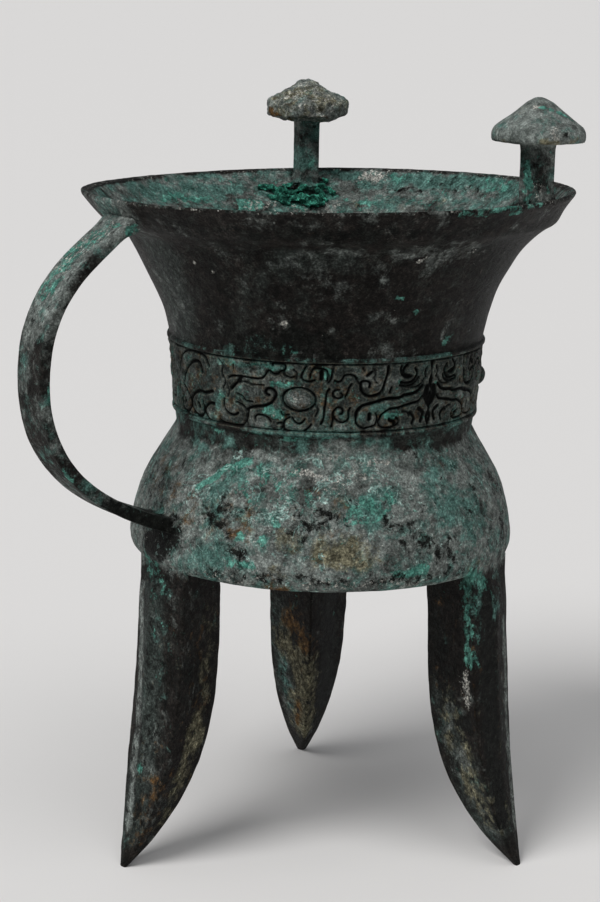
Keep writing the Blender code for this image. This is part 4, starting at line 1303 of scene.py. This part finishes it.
class Nodes:
    """Short ways to add and link shader nodes."""

    def __init__(self, material):
        material.use_nodes = True
        self.tree = material.node_tree
        self.shader = self.tree.nodes["Principled BSDF"]
        self.coords = self.add("ShaderNodeTexCoord").outputs["Object"]

    def add(self, kind, inputs=None, **settings):
        """A new node with its settings and with values or links for its inputs."""
        node = self.tree.nodes.new(kind)
        for name, value in settings.items():
            setattr(node, name, value)
        for name, value in (inputs or {}).items():
            self.feed(node.inputs[name], value)
        return node

    def feed(self, socket, value):
        """Links an output to the socket, or sets the socket's own value."""
        if isinstance(value, bpy.types.NodeSocket):
            self.tree.links.new(value, socket)
        else:
            socket.default_value = value

    def amount(self, name):
        """A number stored on the mesh's corners."""
        return self.add("ShaderNodeAttribute", attribute_name=name).outputs["Fac"]

    def noise(self, size, detail=4.0, roughness=0.6, shift=0.0, distortion=0.0):
        """Noise whose lumps are about this many millimetres, spread evenly from 0 to 1."""
        inputs = {"Vector": self.coords, "Location": (shift, shift * 0.7, 0)}
        place = self.add("ShaderNodeMapping", inputs).outputs[0]
        inputs = {"Vector": place, "Scale": 1 / (size * MM), "Detail": detail,
                  "Roughness": roughness, "Distortion": distortion}
        node = self.add("ShaderNodeTexNoise", inputs)
        return self.fit(node.outputs["Fac"], 0.3, 0.7)

    def fit(self, value, low, high, to_low=0.0, to_high=1.0):
        """The value moved from one range to another, and kept inside it."""
        return self.add("ShaderNodeMapRange", {"Value": value, "From Min": low, "From Max": high,
                                               "To Min": to_low, "To Max": to_high}).outputs[0]

    def math(self, operation, a, b=0.0, c=0.0):
        """One step of arithmetic. Only MULTIPLY_ADD takes a third value."""
        node = self.add("ShaderNodeMath", operation=operation)
        self.feed(node.inputs[0], a)
        self.feed(node.inputs[1], b)
        if operation == "MULTIPLY_ADD":
            self.feed(node.inputs[2], c)
        return node.outputs[0]

    def mask(self, amount, grain, soft=0.06):
        """1 where the grain is under the amount, with a soft edge."""
        gap = self.math("SUBTRACT", amount, grain)
        return self.fit(gap, 0.0, 2 * soft)

    def blend(self, kind, share, a, b, first, output):
        """A mix node; first is the number of its socket A for this kind of value."""
        node = self.add("ShaderNodeMix", data_type=kind)
        self.feed(node.inputs["Factor"], share)
        self.feed(node.inputs[first], a)
        self.feed(node.inputs[first + 1], b)
        return node.outputs[output]

    def colour(self, share, a, b):
        """Part of the way from colour a to colour b."""
        return self.blend("RGBA", share, a, b, 6, 2)

    def number(self, share, a, b):
        """Part of the way from number a to number b."""
        return self.blend("FLOAT", share, a, b, 2, 0)


def patina():
    """Dark bronze under layers of grey film, green and turquoise corrosion, soil, rust and crust, and
    some painted light and shade.
    """
    material = bpy.data.materials.new("patina")
    n = Nodes(material)
    broad = n.noise(15, 12, 0.76, 0.0, 0.2)
    mottle = n.noise(6, 10, 0.74, 0.3, 0.2)
    speck = n.noise(2.6, 8, 0.78, 0.6, 0.15)
    grain = n.noise(0.8, 3, 0.6, 0.9)
    crust = n.amount("crust")
    gap = n.amount("gap")
    grains = {
        "film_and_sheen": (n.noise(11, 12, 0.74, 6.1, 0.2), 0.40),
        "grey": (n.noise(13, 12, 0.74, 1.1, 0.2), 0.22),
        "green": (n.noise(10, 12, 0.74, 1.7, 0.25), 0.15),
        "soil": (n.noise(9, 12, 0.76, 2.9, 0.2), 0.16),
        "rust": (n.noise(6, 11, 0.74, 3.5, 0.2), 0.20),
        "teal": (n.noise(5, 11, 0.78, 2.3, 0.25), 0.06),
        "dark": (n.noise(4.5, 11, 0.76, 4.1, 0.3), 0.10),
        "pale": (n.noise(1.7, 9, 0.78, 4.7, 0.2), 0.06),
    }
    masks = {}
    for layer, (pattern, soft) in grains.items():
        masks[layer] = n.mask(n.amount(layer), pattern, soft)

    # thin veins, where a broad noise crosses its middle value
    line = n.math("ABSOLUTE", n.math("SUBTRACT", n.noise(13, 6, 0.58, 5.3, 0.9), 0.5))
    line = n.math("MULTIPLY", n.fit(line, 0.012, 0.05, 1.0, 0.0), n.mask(n.amount("vein"), mottle, 0.1))

    # every coat lies over the ones before it, with a dark and a light colour mixed by a pattern
    coats = (
        (masks["film_and_sheen"], mottle, (38, 44, 41), (80, 88, 84)),
        (masks["grey"], mottle, (86, 93, 89), (152, 159, 154)),
        (masks["green"], mottle, (48, 80, 73), (114, 153, 144)),
        (masks["soil"], speck, (74, 72, 58), (142, 138, 114)),
        (masks["rust"], mottle, (58, 42, 27), (126, 95, 58)),
        (masks["teal"], mottle, (32, 92, 80), (124, 186, 170)),
        (masks["dark"], speck, (8, 9, 8), (34, 36, 33)),
        (line, speck, (84, 148, 136), (188, 206, 200)),
        (masks["pale"], grain, (140, 140, 132), (206, 204, 196)),
        (n.amount("vivid"), speck, (2, 44, 38), (84, 176, 150)),
    )
    colour = n.colour(broad, screen(6, 6, 5), screen(52, 48, 45))
    for share, pattern, low, high in coats:
        colour = n.colour(share, colour, n.colour(pattern, screen(*low), screen(*high)))

    # fine light and dark, then a painted highlight on the rims beside the grooves and painted shade in
    # them
    shade = n.math("ADD", n.fit(speck, 0, 1, -1.1, 0.95), n.fit(grain, 0, 1, -0.6, 0.55))
    shade = n.math("POWER", 2.7, n.math("MULTIPLY", shade, crust))
    colour = n.add("ShaderNodeVectorMath", operation="SCALE",
                   inputs={0: colour, "Scale": shade}).outputs[0]
    # painted highlight: a pale line along the rims just beside each groove
    off_edge = n.math("ABSOLUTE", n.math("SUBTRACT", gap, 0.38))
    edge = n.math("SUBTRACT", 1.0, n.math("MULTIPLY", off_edge, 3.6))
    edge = n.math("MULTIPLY", n.fit(edge, 0, 1), n.fit(speck, 0.25, 0.65))
    rim_highlight_colour = n.colour(masks["teal"], screen(128, 128, 114), screen(96, 160, 142))
    colour = n.colour(n.math("MULTIPLY", edge, 0.55), colour, rim_highlight_colour)
    # painted shade: near black down in the grooves and along the band's two edge lines
    cut = n.math("MULTIPLY", n.fit(gap, -0.34, 0.06, 0.98, 0.0), n.fit(mottle, 0.02, 0.3, 0.5, 1.0))
    colour = n.colour(cut, colour, screen(4, 5, 4))
    n.feed(n.shader.inputs["Base Color"], colour)

    # gloss
    gloss = n.number(n.amount("worn"), 0.66, n.fit(mottle, 0, 1, 0.36, 0.6))
    for layer, level in (("green", 0.68), ("soil", 0.85), ("teal", 0.72), ("dark", 0.5), ("pale", 0.7)):
        gloss = n.number(masks[layer], gloss, level)
    n.feed(n.shader.inputs["Roughness"], gloss)
    n.shader.inputs["Metallic"].default_value = 0.0
    n.feed(n.shader.inputs["Specular IOR Level"], n.number(n.amount("worn"), 0.06, 0.09))

    # small bumps and pits
    pits = n.add("ShaderNodeTexVoronoi", {"Vector": n.coords, "Scale": 1 / (2.4 * MM)})
    pits = n.fit(pits.outputs["Distance"], 0.0, 0.35)
    height = n.math("MULTIPLY", mottle, 0.9)
    for pattern, share in ((speck, 0.8), (grain, 0.25), (pits, 0.2), (masks["teal"], 0.3),
                           (line, 0.3), (masks["dark"], -0.3)):
        height = n.math("MULTIPLY_ADD", pattern, share, height)
    height = n.math("MULTIPLY", height, crust)
    bump = n.add("ShaderNodeBump", {"Height": height, "Strength": 1.0, "Distance": 0.8 * MM})
    n.feed(n.shader.inputs["Normal"], bump.outputs[0])
    return material


def make_vessel():
    """The whole casting as one object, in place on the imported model."""
    body = facing_out(make_body())
    others = [("UNION", make_handle())]
    others += [("UNION", make_leg(degrees, 21 + 3 * i)) for i, degrees in enumerate(LEG_ANGLES)]
    others += [("DIFFERENCE", make_hollow(degrees)) for degrees in LEG_ANGLES]
    for side in (1, -1):
        others += [("UNION", make_post(side)), ("UNION", make_cap(side))]
    others += [("UNION", make_rope(i, thick, points)) for i, (thick, points) in enumerate(ROPES)]
    mesh = combine(body, others)
    places = corner_values(mesh, "co")
    paint(mesh, places)
    places = uneven(places) * MM + (AXIS_X, 0.0, 0.0)
    mesh.vertices.foreach_set("co", places.ravel())
    mesh.update()
    mesh.shade_smooth()
    mesh.set_sharp_from_angle(angle=math.radians(50))
    mesh.materials.clear()
    mesh.materials.append(patina())
    vessel = put("jia_bronze", mesh)
    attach(vessel, "root")
    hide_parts("jia_vessel")


def make_floor():
    """A wide pale floor, which isn't part of the object."""
    mesh = bpy.data.meshes.new("floor")
    far = 30.0
    corners = [(-far, -far, 0), (far, -far, 0), (far, far, 0), (-far, far, 0)]
    mesh.from_pydata(corners, [], [(0, 1, 2, 3)])
    floor = put("floor", mesh)
    material = bpy.data.materials.new("pale_floor")
    material.use_nodes = True
    shader = material.node_tree.nodes["Principled BSDF"]
    shader.inputs["Base Color"].default_value = screen(226, 224, 222)
    shader.inputs["Roughness"].default_value = 0.8
    mesh.materials.append(material)


def make_light(name, azimuth, elevation, power, softness):
    """Even light from far away. Softness is the angle that its source covers, in degrees."""
    data = bpy.data.lights.new(name, "SUN")
    data.energy = power
    data.angle = math.radians(softness)
    light = put(name, data)
    flat = math.cos(math.radians(elevation))
    light.location = polar(flat, azimuth, math.sin(math.radians(elevation))).tolist()
    light.rotation_euler = light.location.to_track_quat("Z", "Y").to_euler()


def make_lights():
    """Soft studio light from above: a key from the left, a fill from the right and a pale world."""
    make_light("key", CAMERA_AZIMUTH - 42, 50, 2.1, 28)
    make_light("fill", CAMERA_AZIMUTH + 30, 66, 0.5, 35)
    world = bpy.data.worlds.new("pale")
    world.use_nodes = True
    world.node_tree.nodes["Background"].inputs["Color"].default_value = (0.95, 0.97, 1.0, 1.0)
    world.node_tree.nodes["Background"].inputs["Strength"].default_value = 0.31
    bpy.context.scene.world = world
    bpy.context.scene.view_settings.view_transform = "Standard"


def make_camera():
    """The camera at the photograph's viewing angle."""
    data = bpy.data.cameras.new("camera")
    data.sensor_fit = "VERTICAL"
    data.sensor_height = 36.0
    data.lens = 36.0 * FOCAL_PIXELS / IMAGE_HEIGHT
    data.clip_start = 0.05
    data.clip_end = 60.0
    camera = put("camera", data)
    place = polar(CAMERA_DISTANCE, CAMERA_AZIMUTH, CAMERA_HEIGHT) * MM
    turn = (Matrix.Rotation(math.radians(CAMERA_HEADING), 4, "Z")
            @ Matrix.Rotation(math.radians(90 + CAMERA_PITCH), 4, "X")
            @ Matrix.Rotation(math.radians(CAMERA_ROLL), 4, "Z"))
    camera.matrix_world = Matrix.Translation(Vector(place.tolist()) + Vector((AXIS_X, 0, 0))) @ turn
    bpy.context.scene.camera = camera


make_camera()
make_lights()
make_floor()
make_vessel()
